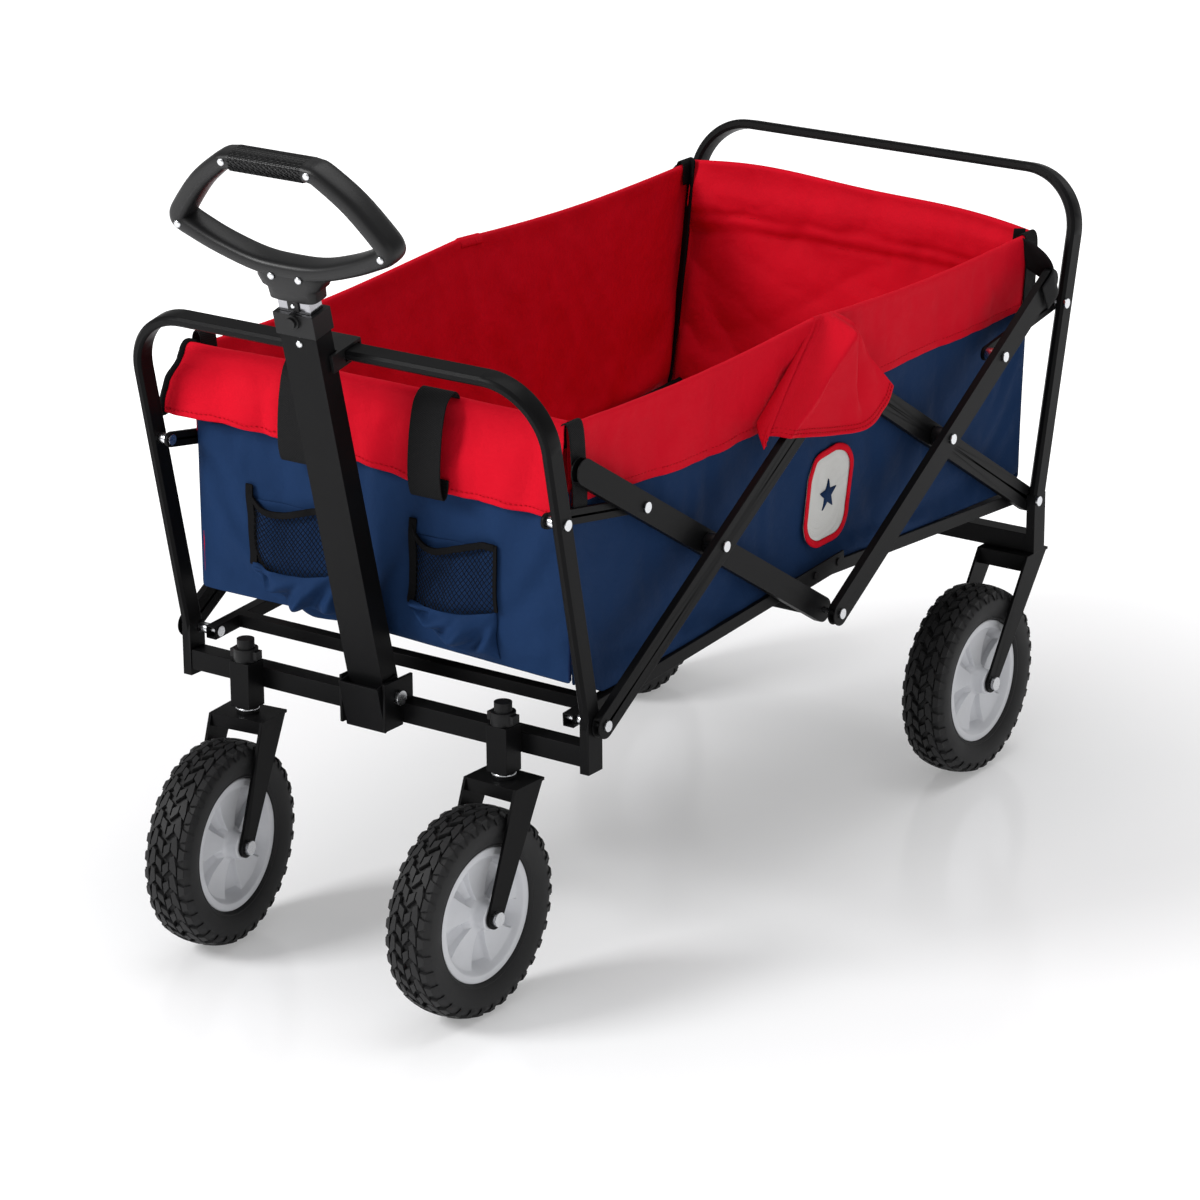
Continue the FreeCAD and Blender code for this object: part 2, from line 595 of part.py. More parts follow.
subpart(group(*[axle("-rear_wheel_x", f"{side} * rear_wheel_y") for _, side in SIDES]), "rear_axles")


# --- pull handle ---------------------------------------------------------------------

def hollow(wide, deep, low, high, wall):
    """A rectangular tube along Z with open ends."""
    outer = block((f"-{deep} / 2", f"-{wide} / 2", low), (f"{deep} / 2", f"{wide} / 2", high))
    bore = block((f"{wall} - {deep} / 2", f"{wall} - {wide} / 2", f"{low} - 1"),
                 (f"{deep} / 2 - {wall}", f"{wide} / 2 - {wall}", f"{high} + 1"))
    return cut(outer, bore)


AT_HANDLE = ("handle_x", "0", "handle_z", (0, 1, 0), "handle_lean")
pivot_hole = ("Y", "handle_pin + 0.03", "-ear_y - 1", "ear_y + 1", "0", "0")
subpart(cut(hollow("outer_tube_wide", "outer_tube_deep", "-4.2", "outer_tube_top", "crossbar_wall"),
            rod(*pivot_hole)), "handle_outer_tube", *AT_HANDLE)

shoe = [block(("shoe_front - shoe_plate", "-outer_tube_wide / 2 - shoe_plate - 0.1", "-28"),
              ("shoe_front", "outer_tube_wide / 2 + shoe_plate + 0.1", "20"))]
for _, side in SIDES:
    shoe.append(side_block(side, ("-8", "shoe_front"),
                           ("outer_tube_wide / 2 + 0.1", "outer_tube_wide / 2 + shoe_plate + 0.1"),
                           ("-6", "20")))
subpart(cut(joined(*shoe), rod(*pivot_hole)), "handle_shoe", *AT_HANDLE)

collar = joined(
    block(("-outer_tube_deep / 2 - 2.2", "-outer_tube_wide / 2 - 2.2", "outer_tube_top - 8"),
          ("outer_tube_deep / 2 + 2.2", "outer_tube_wide / 2 + 2.2", "outer_tube_top + 14")),
    rod("X", "button_radius + 2.5", "5", "outer_tube_deep / 2 + 5", "0", "button_z"))
seat = block(("-outer_tube_deep / 2 - 0.1", "-outer_tube_wide / 2 - 0.1", "outer_tube_top - 9"),
             ("outer_tube_deep / 2 + 0.1", "outer_tube_wide / 2 + 0.1", "outer_tube_top"))
mouth = block(("-inner_tube_deep / 2 - 0.3", "-inner_tube_wide / 2 - 0.3", "outer_tube_top - 1"),
              ("inner_tube_deep / 2 + 0.3", "inner_tube_wide / 2 + 0.3", "outer_tube_top + 15"))
well = rod("X", "button_radius + pin_fit", "outer_tube_deep / 2 - 3", "outer_tube_deep / 2 + 6", "0", "button_z")
subpart(cut(collar, seat, mouth, well), "handle_collar", *AT_HANDLE)
subpart(group(rod("X", "button_radius", "outer_tube_deep / 2 + 0.4", "outer_tube_deep / 2 + 7.5", "0",
                  "button_z")), "handle_button", *AT_HANDLE)

subpart(hollow("inner_tube_wide", "inner_tube_deep", "inner_tube_low", "neck_low - 0.1", "tube_wall"),
        "handle_inner_tube", *AT_HANDLE)


def grip():
    """A closed D-shaped loop on a neck, in the plane across the wagon."""
    body = doc.addObject("PartDesign::Body", "loop")
    sketch = sketch_on(body, "YZ_Plane", "loop_outline")
    right = [("26", "neck_low"), ("30", "neck_low + 20"), ("46", "neck_low + 26"), ("86", "neck_low + 36"),
             ("118", "neck_low + 50"), ("127", "neck_low + 58"), ("125", "neck_low + 66"),
             ("90", "neck_low + 108"), ("58", "neck_low + 136"), ("48", "neck_low + 139")]
    outline(sketch, right + [(f"-{y}", z) for y, z in reversed(right)])
    inside = [("0", "neck_low + 38"), ("40", "neck_low + 44"), ("78", "neck_low + 55"),
              ("105", "neck_low + 68"), ("104", "neck_low + 72"), ("76", "neck_low + 100"),
              ("44", "neck_low + 121")]
    outline(sketch, inside + [(f"-{y}", z) for y, z in reversed(inside[1:])])
    pad(body, sketch, "grip_thick", midplane=True)
    return body


loop = grip()
doc.recompute()
rounded = doc.addObject("Part::Fillet", "rounded_loop")
rounded.Base = loop
flat_faces = [face for face in loop.Shape.Faces if abs(abs(face.normalAt(0, 0).x) - 1) < 1e-6]
rim_edges = [edge for face in flat_faces for edge in face.Edges]
radius = number("grip_round")
rounded.Edges = [(index, radius, radius) for index, edge in enumerate(loop.Shape.Edges, start=1)
                 if any(edge.isSame(other) for other in rim_edges)]
subpart(rounded, "handle_grip", *AT_HANDLE)
subpart(group(block(("-9", "-44", "neck_low + 139.2"), ("9", "44", "neck_low + 142"))), "handle_grip_pad",
        *AT_HANDLE)

# snap clip round the front hoop's top, with two prongs beside the handle's tube
clip = [block(("-14", "-25", "-8.5"), ("17", "25", "8.5"))]
for _, side in SIDES:
    clip.append(side_block(side, ("16", "29"), ("21.4", "25"), ("-8.5", "8.5")))
hoop_slot = block(("-hoop_wide / 2 - 0.1", "-26", "-hoop_thick / 2 - 0.1"),
                  ("hoop_wide / 2 + 0.1", "26", "hoop_thick / 2 + 0.1"))
subpart(cut(joined(*clip), hoop_slot), "handle_clip",
        "leg_x + (front_hoop_z - foot_z) * tan(front_lean)", "0", "front_hoop_z", (0, 1, 0), "front_lean")


# --- fabric tub ----------------------------------------------------------------------

subpart(group(block(("tub_front_x - tub_skin - 2", "-tub_half_wide", "end_low"),
                    ("tub_front_x", "tub_half_wide", "tub_top"))), "tub_front_wall")
subpart(group(block(("-tub_rear_x", "-tub_half_wide", "end_low"),
                    ("tub_skin + 2 - tub_rear_x", "tub_half_wide", "tub_top"))), "tub_rear_wall")
for side_name, side in SIDES:
    subpart(group(side_block(side, ("tub_skin + 3 - tub_rear_x", "tub_front_x - tub_skin - 3"),
                             ("tub_half_wide - tub_skin", "tub_half_wide"), ("side_low", "tub_top"))),
            f"tub_{side_name}_wall")


# --- checks and export ---------------------------------------------------------------

doc.recompute()
for thing in doc.Objects:
    bad = {"Invalid", "Error"} & set(thing.State)
    if bad:
        raise RuntimeError(f"{thing.Label} ({thing.Name}) is {bad}")
os.makedirs("parts", exist_ok=True)
whole = FreeCAD.BoundBox()
for thing in SUBPARTS:
    if thing.Shape.isNull() or not thing.Shape.isValid():
        raise RuntimeError(f"{thing.Label} has no valid shape")
    thing.Shape.exportStep(f"parts/{thing.Label}.step")
    whole.add(thing.Shape.BoundBox)
print(len(SUBPARTS), "sub-parts; box", whole)
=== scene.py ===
import json
from math import copysign, cos, exp, pi, radians, sin

import bmesh
import bpy
from mathutils import Matrix, Vector, noise


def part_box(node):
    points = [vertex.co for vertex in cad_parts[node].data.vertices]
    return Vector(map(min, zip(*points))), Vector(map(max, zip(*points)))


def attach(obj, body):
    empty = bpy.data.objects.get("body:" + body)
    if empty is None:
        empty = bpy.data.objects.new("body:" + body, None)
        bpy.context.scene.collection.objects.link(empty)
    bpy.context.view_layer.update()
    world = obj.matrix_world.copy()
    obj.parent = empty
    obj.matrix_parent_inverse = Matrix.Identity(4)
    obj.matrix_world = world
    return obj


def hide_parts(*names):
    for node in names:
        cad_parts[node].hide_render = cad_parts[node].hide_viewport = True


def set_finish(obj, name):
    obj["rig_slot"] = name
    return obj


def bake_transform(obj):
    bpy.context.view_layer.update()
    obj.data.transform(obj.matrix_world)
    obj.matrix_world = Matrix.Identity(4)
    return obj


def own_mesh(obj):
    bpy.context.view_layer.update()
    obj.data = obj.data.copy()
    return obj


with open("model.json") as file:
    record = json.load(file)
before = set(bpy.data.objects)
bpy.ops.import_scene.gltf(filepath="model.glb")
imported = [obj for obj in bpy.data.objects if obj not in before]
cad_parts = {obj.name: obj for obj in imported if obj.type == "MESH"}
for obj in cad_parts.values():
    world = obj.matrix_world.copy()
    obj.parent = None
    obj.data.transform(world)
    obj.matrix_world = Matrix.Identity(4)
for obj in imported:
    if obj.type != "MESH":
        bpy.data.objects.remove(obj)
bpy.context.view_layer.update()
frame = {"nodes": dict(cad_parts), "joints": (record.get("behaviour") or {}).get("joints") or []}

# Folding pull wagon. Metres; +X is the front, +Y the left side, +Z up. Places written as
# plain numbers are measured from the middle of the side scissors, which stands at MID.

SCENE = bpy.context.scene
JOINTS = {joint["name"]: joint for joint in frame["joints"]}
SIDES = (("left", 1), ("right", -1))


def centre(node):
    low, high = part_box(node)
    return (low + high) / 2


MID = centre("centre_cross_tube").x
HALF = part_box("tub_left_wall")[1].y
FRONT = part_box("tub_front_wall")[1].x - MID
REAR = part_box("tub_rear_wall")[0].x - MID
FOOT = Vector(JOINTS["fold"]["pos_m"])
TOP_JOINT = Vector(JOINTS["top_joint"]["pos_m"])


def at(x, y, z):
    return Vector((x + MID, y, z))


# --- camera and light ------------------------------------------------------------------

def make_camera():
    azimuth, elevation, roll = (radians(a) for a in (125.34, 19.22, -0.351))
    aim, distance, lens = Vector((0.11405, 0.0718, 0.2952)), 4.376, 135.03
    back = Vector((sin(azimuth) * cos(elevation),
                   -cos(azimuth) * cos(elevation), sin(elevation)))
    right = Vector((0, 0, 1)).cross(back).normalized()
    up = back.cross(right)
    across = right * cos(roll) + up * sin(roll)
    upright = up * cos(roll) - right * sin(roll)
    data = bpy.data.cameras.new("camera")
    data.sensor_width = 36.0
    data.lens = lens
    camera = bpy.data.objects.new("camera", data)
    SCENE.collection.objects.link(camera)
    spin = Matrix((across, upright, back)).transposed().to_4x4()
    camera.matrix_world = Matrix.Translation(aim + back * distance) @ spin
    SCENE.camera = camera


def make_light(name, place, aim, size, power):
    data = bpy.data.lights.new(name, "AREA")
    data.shape = "RECTANGLE"
    data.size, data.size_y = size
    data.energy = power
    lamp = bpy.data.objects.new(name, data)
    SCENE.collection.objects.link(lamp)
    lamp.location = place
    lamp.rotation_mode = "QUATERNION"
    lamp.rotation_quaternion = (Vector(aim) - Vector(place)).to_track_quat("-Z", "Y")


def make_studio():
    make_light("key", (2.6, -1.5, 2.1), (0.2, 0, 0.35), (1.1, 1.1), 82)
    make_light("top", (-0.3, 0.2, 3.2), (0, 0, 0.3), (2.2, 2.0), 37)
    make_light("fill", (1.2, 3.2, 1.5), (0, 0, 0.4), (2.2, 1.4), 9.5)
    make_light("rim", (-3.0, 0.6, 1.9), (0, 0, 0.4), (1.0, 1.6), 7)
    world = bpy.data.worlds.new("studio")
    world.use_nodes = True
    light = world.node_tree.nodes["Background"].inputs
    light["Color"].default_value = (1, 1, 1, 1)
    light["Strength"].default_value = 0.34
    SCENE.world = world
    SCENE.view_settings.view_transform = "Standard"


# --- materials -------------------------------------------------------------------------

class Surface:
    """A Principled material being built from procedural nodes."""

    def __init__(self, name, colour, roughness, **sockets):
        self.material = bpy.data.materials.new(name)
        self.material.use_nodes = True
        self.tree = self.material.node_tree
        self.shader = self.tree.nodes["Principled BSDF"]
        self.set(self.shader, "Base Color", (*colour, 1))
        self.set(self.shader, "Roughness", roughness)
        for socket, value in sockets.items():
            self.set(self.shader, socket.replace("_", " "), value)
        self.colour, self.relief = colour, None
        self.material.diffuse_color = (*colour, 1)

    def set(self, node, socket, value):
        if isinstance(value, bpy.types.NodeSocket):
            self.tree.links.new(value, node.inputs[socket])
        else:
            node.inputs[socket].default_value = value

    def node(self, kind, output=0, settings=None, **inputs):
        node = self.tree.nodes.new(kind)
        for key, value in (settings or {}).items():
            setattr(node, key, value)
        for socket, value in inputs.items():
            self.set(node, int(socket[1:]) if socket[0] == "i" and socket[1:].isdigit()
                     else socket.replace("_", " "), value)
        return node.outputs[output]

    def place(self, cloth=False, scale=(1, 1, 1), turn=0.0):
        """Coordinates in metres: over the cloth, or through the solid."""
        found = self.node("ShaderNodeTexCoord", "UV" if cloth else "Object")
        return self.node("ShaderNodeMapping", Vector=found, Scale=scale, Rotation=(0, 0, turn))

    def noise(self, coordinates, scale, detail=3.0, roughness=0.55):
        return self.node("ShaderNodeTexNoise", "Fac", Vector=coordinates, Scale=scale, Detail=detail,
                         Roughness=roughness)

    def pebbles(self, coordinates, scale):
        return self.node("ShaderNodeTexVoronoi", "Distance", Vector=coordinates, Scale=scale)

    def bands(self, coordinates, direction):
        """One ridge for each unit along X or Y."""
        return self.node("ShaderNodeTexWave", "Fac", {"bands_direction": direction}, Vector=coordinates,
                         Scale=0.3141593)

    def math(self, operation, first, second):
        return self.node("ShaderNodeMath", 0, {"operation": operation}, i0=first, i1=second)

    def span(self, value, low, high):
        return self.node("ShaderNodeMapRange", "Result", Value=value, To_Min=low, To_Max=high)

    def shade(self, value, darker, lighter=1.0):
        """Colour that varies from darker to lighter times the base colour."""
        dark = tuple(c * darker for c in self.colour)
        light = tuple(min(1.0, c * lighter) for c in self.colour)
        mixed = self.node("ShaderNodeMix", 2, {"data_type": "RGBA"}, i0=value, i6=(*dark, 1),
                          i7=(*light, 1))
        self.set(self.shader, "Base Color", mixed)

    def vary_roughness(self, value, low, high):
        self.set(self.shader, "Roughness", self.span(value, low, high))

    def bump(self, height, distance, strength=1.0):
        inputs = {"Height": height, "Distance": distance, "Strength": strength}
        if self.relief is not None:
            inputs["Normal"] = self.relief
        self.relief = self.node("ShaderNodeBump", 0, None, **inputs)
        self.set(self.shader, "Normal", self.relief)


def hard_finish(name, colour, roughness, gloss, grain, relief, cloud, shine, shades, metal=0.0,
                texture=Surface.noise):
    """A fine grain in relief, and a cloud that varies the shine and the shade."""
    made = Surface(name, colour, roughness, Specular_IOR_Level=gloss, Metallic=metal)
    where = made.place()
    made.bump(texture(made, where, *grain), *relief)
    patches = made.noise(where, *cloud)
    made.vary_roughness(patches, *shine)
    made.shade(patches, *shades)
    return made.material


def bright_metal(name, colour, roughness):
    made = Surface(name, colour, roughness, Metallic=1.0)
    where = made.place()
    cloud = made.noise(where, 260, 4)
    made.vary_roughness(cloud, roughness * 0.6, roughness * 1.7)
    made.bump(cloud, 0.00015, 0.25)
    made.shade(made.noise(where, 60, 2), 0.82, 1.0)
    return made.material


def woven(name, colour, thread=0.0011, roughness=0.62):
    """Plain-weave polyester: threads and soft crinkles."""
    made = Surface(name, colour, roughness, Specular_IOR_Level=0.03)
    fine = made.place(True, (1 / thread, 1 / thread, 1))
    weave = made.math("MAXIMUM", made.bands(fine, "X"), made.bands(fine, "Y"))
    where = made.place(True)
    slub = made.noise(made.place(True, (60, 900, 1)), 1.0, 2)
    soft, small = made.noise(where, 13, 4), made.noise(where, 75, 3)
    made.bump(soft, 0.006, 0.6)
    made.bump(small, 0.0012, 0.6)
    made.bump(weave, 0.00012, 0.5)
    cloud = made.math("ADD", made.math("MULTIPLY", soft, 0.8), made.math("MULTIPLY", slub, 0.2))
    made.shade(cloud, 0.84, 1.12)
    made.vary_roughness(small, roughness - 0.07, roughness + 0.1)
    return made.material


def webbing():
    """Ribbed nylon strap."""
    made = Surface("webbing", (0.0045, 0.0045, 0.005), 0.7, Specular_IOR_Level=0.12)
    ribs = made.bands(made.place(True, (1 / 0.0016, 1 / 0.0022, 1), 0.5), "X")
    made.bump(ribs, 0.0003, 0.7)
    cloud = made.noise(made.place(True), 90)
    made.shade(made.math("MULTIPLY", ribs, cloud), 0.6, 2.0)
    made.vary_roughness(cloud, 0.58, 0.76)
    return made.material


def floor_paint():
    made = Surface("studio_floor", (0.8, 0.8, 0.81), 0.16, Specular_IOR_Level=0.45,
                   Emission_Color=(1, 1, 1, 1))
    # The floor glows, as painted light: least near the wagon, so the shade round it stays dark, and most
    # from 1.7 m out, so the far floor reads white.
    apart = made.node("ShaderNodeVectorMath", "Value", {"operation": "LENGTH"}, i0=made.place())
    painted_floor_glow = made.node("ShaderNodeMapRange", "Result", {"interpolation_type": "SMOOTHSTEP"}, Value=apart,
                     From_Min=0.45, From_Max=1.7, To_Min=0.27, To_Max=0.92)
    made.set(made.shader, "Emission Strength", painted_floor_glow)
    made.vary_roughness(made.noise(made.place(), 2.0), 0.13, 0.19)
    return made.material


BLACK_STEEL = hard_finish("powder_coat", (0.0046, 0.0046, 0.0049), 0.38, 0.06, (1500, 2),
                          (0.00012, 0.35), (11, 3), (0.31, 0.44), (0.75, 1.5))
ZINC = bright_metal("zinc_plate", (0.66, 0.67, 0.69), 0.24)
CHROME = bright_metal("chrome_tube", (0.34, 0.34, 0.36), 0.14)
PLASTIC = hard_finish("moulded_plastic", (0.005, 0.005, 0.0054), 0.42, 0.2, (1400,),
                      (0.0001, 0.4), (25,), (0.38, 0.54), (0.8, 1.4), texture=Surface.pebbles)
GRIP = hard_finish("soft_grip", (0.005, 0.005, 0.0054), 0.36, 0.26, (900, 3), (0.0002, 0.35), (18,),
                   (0.33, 0.47), (0.8, 1.35))
RUBBER = hard_finish("rubber", (0.0085, 0.0085, 0.009), 0.56, 0.36, (700, 4), (0.0002, 0.4), (30, 5),
                     (0.5, 0.75), (0.7, 1.6))
RIM = hard_finish("rim_plastic", (0.66, 0.67, 0.7), 0.34, 0.5, (500, 3), (0.0001, 0.25), (35, 4),
                  (0.3, 0.46), (0.9, 1.08), metal=0.05)
RED = woven("red_polyester", (0.58, 0.005, 0.0175))
NAVY = woven("navy_polyester", (0.011, 0.0305, 0.086))
RED_THREAD = woven("red_thread", (0.42, 0.004, 0.01), 0.0004, 0.5)
NAVY_THREAD = woven("navy_thread", (0.006, 0.014, 0.05), 0.0004, 0.5)
BINDING = woven("black_binding", (0.006, 0.006, 0.0065), 0.0008, 0.6)
WEBBING = webbing()
PATCH = woven("pale_twill", (0.62, 0.62, 0.6), 0.0009, 0.6)
SLOTS = {"fabric_red": (RED, RED_THREAD), "fabric_navy": (NAVY, NAVY_THREAD),
         "webbing": (WEBBING, BINDING), "tyre": (RUBBER,), "rim": (RIM,), "grip": (GRIP,),
         "fastener": (ZINC,), "plastic_black": (PLASTIC,)}


# --- mesh helpers ----------------------------------------------------------------------

def piece(name, points, faces, material, uvs=None, smooth=True):
    mesh = bpy.data.meshes.new(name)
    mesh.from_pydata([tuple(p) for p in points], [], faces)
    mesh.materials.append(material)
    if uvs:
        layer = mesh.uv_layers.new(name="metres")
        for loop in mesh.loops:
            layer.data[loop.index].uv = uvs[loop.vertex_index]
    mesh.polygons.foreach_set("use_smooth", [smooth] * len(mesh.polygons))
    mesh.update()
    obj = bpy.data.objects.new(name, mesh)
    SCENE.collection.objects.link(obj)
    for slot, group in SLOTS.items():
        if material in group:
            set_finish(obj, slot)
    return obj


def thicken(obj, thick, levels=1):
    solid = obj.modifiers.new("thickness", "SOLIDIFY")
    solid.thickness, solid.offset = thick, 0.0
    smooth = obj.modifiers.new("smooth", "SUBSURF")
    smooth.levels = smooth.render_levels = levels
    return obj


def lofted(name, rows, material, ring=False, loop=False, caps=False):
    """Faces between rows of points; ring closes each row, loop joins the last row to the first."""
    count, width = len(rows), len(rows[0])
    faces, uvs, along = [], [], 0.0
    for i, row in enumerate(rows):
        if i:
            along += sum((a - b).length for a, b in zip(row, rows[i - 1])) / width
        across = 0.0
        for j, p in enumerate(row):
            if j:
                across += (p - row[j - 1]).length
            uvs.append((along, across))
    for i in range(count if loop else count - 1):
        for j in range(width if ring else width - 1):
            a, b = i * width, ((i + 1) % count) * width
            k = (j + 1) % width
            faces.append((a + j, b + j, b + k, a + k))
    if caps:
        faces.append(tuple(range(width))[::-1])
        faces.append(tuple((count - 1) * width + j for j in range(width)))
    return piece(name, [p for row in rows for p in row], faces, material, uvs)


def frames_along(points):
    """For each point of a line, two directions across it that turn as little as they can."""
    found, side = [], None
    for i in range(len(points)):
        ahead = (points[min(i + 1, len(points) - 1)] - points[max(i - 1, 0)]).normalized()
        if side is None:
            side = ahead.orthogonal().normalized()
        side = (side - ahead * side.dot(ahead)).normalized()
        found.append((side, ahead.cross(side)))
    return found


def tube(name, points, radius, material, sides=8):
    rows = [[p + (side * cos(t) + over * sin(t)) * radius for t in turns(sides)]
            for p, (side, over) in zip(points, frames_along(points))]
    return lofted(name, rows, material, ring=True, caps=True)


def ribbon(name, points, across, width, thick, material, levels=1):
    """A strap along a line of points."""
    steps = [-0.5, -0.46, -0.2, 0.2, 0.46, 0.5]
    rows = [[p + across * (width * s) for s in steps] for p in points]
    return thicken(lofted(name, rows, material), thick, levels)


def spline(a, b, c, d, t):
    """A Catmull-Rom curve from b to c."""
    return 0.5 * (2 * b + (c - a) * t + (2 * a - 5 * b + 4 * c - d) * t ** 2
                  + (3 * b - a - 3 * c + d) * t ** 3)


def smooth_line(points, count):
    """A smooth curve through the points."""
    ends = [points[0] * 2 - points[1], *points, points[-1] * 2 - points[-2]]
    made = []
    for k in range(count + 1):
        t = k / count * (len(points) - 1)
        i = min(int(t), len(points) - 2)
        made.append(spline(*ends[i:i + 4], t - i))
    return made


def turned(name, profile, spot, axis, material, steps=48):
    """A shape of revolution: profile gives (distance along the axis, radius)."""
    ahead = Vector(axis).normalized()
    side = ahead.orthogonal().normalized()
    over = ahead.cross(side)
    rows = [[spot + ahead * a + (side * cos(t) + over * sin(t)) * r for a, r in profile]
            for t in turns(steps)]
    return lofted(name, rows, material, loop=True)


def broken_edges(obj, width, angle):
    bevel = obj.modifiers.new("edges", "BEVEL")
    bevel.width, bevel.segments, bevel.limit_method, bevel.angle_limit = width, 2, "ANGLE", angle
    return bevel


def merged(name, objects):
    """Several small pieces as one."""
    base = objects[0]
    graph = bpy.context.evaluated_depsgraph_get()
    whole = bmesh.new()
    for obj in objects:
        mesh = bpy.data.meshes.new_from_object(obj.evaluated_get(graph))
        mesh.transform(obj.matrix_world)
        whole.from_mesh(mesh)
        bpy.data.meshes.remove(mesh)
    mesh = bpy.data.meshes.new(name)
    whole.to_mesh(mesh)
    whole.free()
    for material in base.data.materials:
        mesh.materials.append(material)
    made = bpy.data.objects.new(name, mesh)
    SCENE.collection.objects.link(made)
    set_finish(made, base["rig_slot"])
    for obj in objects:
        bpy.data.objects.remove(obj)
    return made


def ease(t):
    t = max(0.0, min(1.0, t))
    return t * t * (3 - 2 * t)


def mix(a, b, t):
    return a + (b - a) * t


def hump(t):
    """0 at both ends and 1 in the middle."""
    return sin(pi * t)


def turns(count):
    """Equal angles all the way round."""
    return [2 * pi * k / count for k in range(count)]


def spread(low, high, count):
    """Even steps from low to high."""
    return [mix(low, high, k / count) for k in range(count + 1)]


# --- cloth -----------------------------------------------------------------------------

SETTLING = 26
STITCH_LONG, STITCH_FAT = 0.0034, 0.00045


class Cloth:
    """A settled wall of cloth: rows of points that every layer sewn to it follows."""

    def __init__(self, rows, facing):
        self.rows, self.facing = rows, facing
        self.wide, self.high = len(rows) - 1, len(rows[0]) - 1

    def point(self, u, v):
        a, b = u * self.wide, v * self.high
        i, j = (max(0, min(int(t), n - 1)) for t, n in ((a, self.wide), (b, self.high)))
        low = self.rows[i][j].lerp(self.rows[i + 1][j], a - i)
        high = self.rows[i][j + 1].lerp(self.rows[i + 1][j + 1], a - i)
        return low + (high - low) * (b - j)

    def level(self, u, z):
        """The v at a height."""
        low, high = self.point(u, 0).z, self.point(u, 1).z
        return (z - low) / (high - low)

    def at(self, u, v, out=0.0, lift=0.0):
        """A point out from the cloth's face."""
        du, dv = 1.5 / self.wide, 1.5 / self.high
        along = self.point(min(1, u + du), v) - self.point(max(0, u - du), v)
        up = self.point(u, min(1, v + dv)) - self.point(u, max(0, v - dv))
        normal = along.cross(up).normalized() * self.facing
        return self.point(u, v) + normal * out + Vector((0, 0, lift))


def settle(place, wide, high, slack, facing, most, room):
    """Hang cloth by its edges in a frame that it is a little too large for.

    It moves by no more than most, and no further out than room.
    """
    rows = [[place(i / wide, j / high) for j in range(high + 1)] for i in range(wide + 1)]
    for i in range(1, wide):
        for j in range(1, high):
            p = rows[i][j]
            rows[i][j] = p + (Vector((0, 0, 0)) + noise.noise_vector(p * 11.0)) * 0.0022
    obj = lofted("settling", rows, RED)
    group = obj.vertex_groups.new(name="held")
    for i in range(wide + 1):
        for j in range(high + 1):
            hung = i in (0, wide) or j in (0, high)
            group.add([i * (high + 1) + j], float(hung), "REPLACE")
    rules = obj.modifiers.new("Cloth", "CLOTH").settings
    rules.quality, rules.mass = 7, 0.15
    rules.tension_stiffness = rules.compression_stiffness = 30
    rules.shear_stiffness, rules.bending_stiffness = 12, 0.35
    rules.air_damping = 2.0
    rules.shrink_min = -slack
    rules.vertex_group_mass = "held"
    for step in range(1, SETTLING + 1):
        SCENE.frame_set(step)
    mesh = obj.evaluated_get(bpy.context.evaluated_depsgraph_get()).data
    outward = (rows[wide][0] - rows[0][0]).cross(rows[0][high] - rows[0][0]).normalized() * facing
    for i in range(wide + 1):
        for j in range(high + 1):
            start = rows[i][j]
            moved = mesh.vertices[i * (high + 1) + j].co - start
            moved = moved * min(1.0, most / max(moved.length, 1e-9))
            beyond = moved.dot(outward) - room(i / wide)
            rows[i][j] = start + moved - outward * max(0.0, beyond)
    bpy.data.objects.remove(obj)
    SCENE.frame_set(1)
    return Cloth(rows, facing)


def layer(name, cloth, material, columns, profile):
    """A sheet sewn over a wall: profile(u) lists (v, out, lift), from one hem to the other."""
    rows = [[cloth.at(u, *spot) for spot in profile(u)] for u in columns]
    return thicken(lofted(name, rows, material), 0.0009)


def stitches(name, line, material, pitch=0.0052):
    """A row of thread stitches along a line of points, standing on the cloth."""
    points, faces, walked, due = [], [], 0.0, 0.0
    for a, b in zip(line, line[1:]):
        gap = (b - a).length
        while due <= walked + gap and gap > 0:
            spot = a.lerp(b, (due - walked) / gap)
            ahead = (b - a).normalized()
            side = ahead.orthogonal().normalized()
            over = ahead.cross(side)
            base = len(points)
            for step, swell in ((-0.5, 0.3), (-0.3, 1.0), (0.3, 1.0), (0.5, 0.3)):
                for t in turns(5):
                    points.append(spot + ahead * (STITCH_LONG * step)
                                  + (side * cos(t) + over * sin(t)) * (STITCH_FAT * swell))
            for ring in range(3):
                for k in range(5):
                    n = (k + 1) % 5
                    faces.append((base + ring * 5 + k, base + ring * 5 + n,
                                  base + ring * 5 + 5 + n, base + ring * 5 + 5 + k))
            faces.append(tuple(base + k for k in range(5))[::-1])
            faces.append(tuple(base + 15 + k for k in range(5)))
            due += pitch
        walked += gap
    return piece(name, points, faces, material, [(p.x, p.z) for p in points])


# --- the tub's walls ---------------------------------------------------------------------

RAIL_LOW, RAIL_HIGH = 0.288, 0.314
LINING_LOW = 0.329
MAT_LOW = 0.3255
TOP_NEAR, TOP_FAR = 0.557, 0.573
BAND = 0.478
CORNER = FRONT - 0.003
BACK = REAR - 0.004
BACK_TOP = REAR - 0.019
WALL_Y = HALF - 0.0022


def bottom(side, x):
    """The cloth's lower hem, just above the near floor rails and well above the far ones."""
    corner = 0.022 * ease((x - 0.35) / 0.045) + 0.016 * ease((-x - 0.365) / 0.03)
    middle = RAIL_HIGH - (0.009 if side > 0 else 0)
    return mix(middle, RAIL_LOW if side > 0 else 0.327, min(1, abs(x) / 0.4)) + (corner if side > 0 else 0)


def top(side, x):
    """The top edge sags between the corners and the middle joint."""
    t = min(1, abs(x) / 0.4)
    corner = TOP_NEAR if side > 0 else mix(TOP_FAR, 0.5645, ease(x / 0.4))
    return corner + 0.005 * (1 - t) - 0.006 * hump(t)


def u_at(y):
    """Where a place across the tub is on an end wall, from 0 to 1."""
    return (y + WALL_Y) / (2 * WALL_Y)


def side_x(u, v):
    return mix(mix(BACK, BACK_TOP, v ** 1.4), CORNER, u)


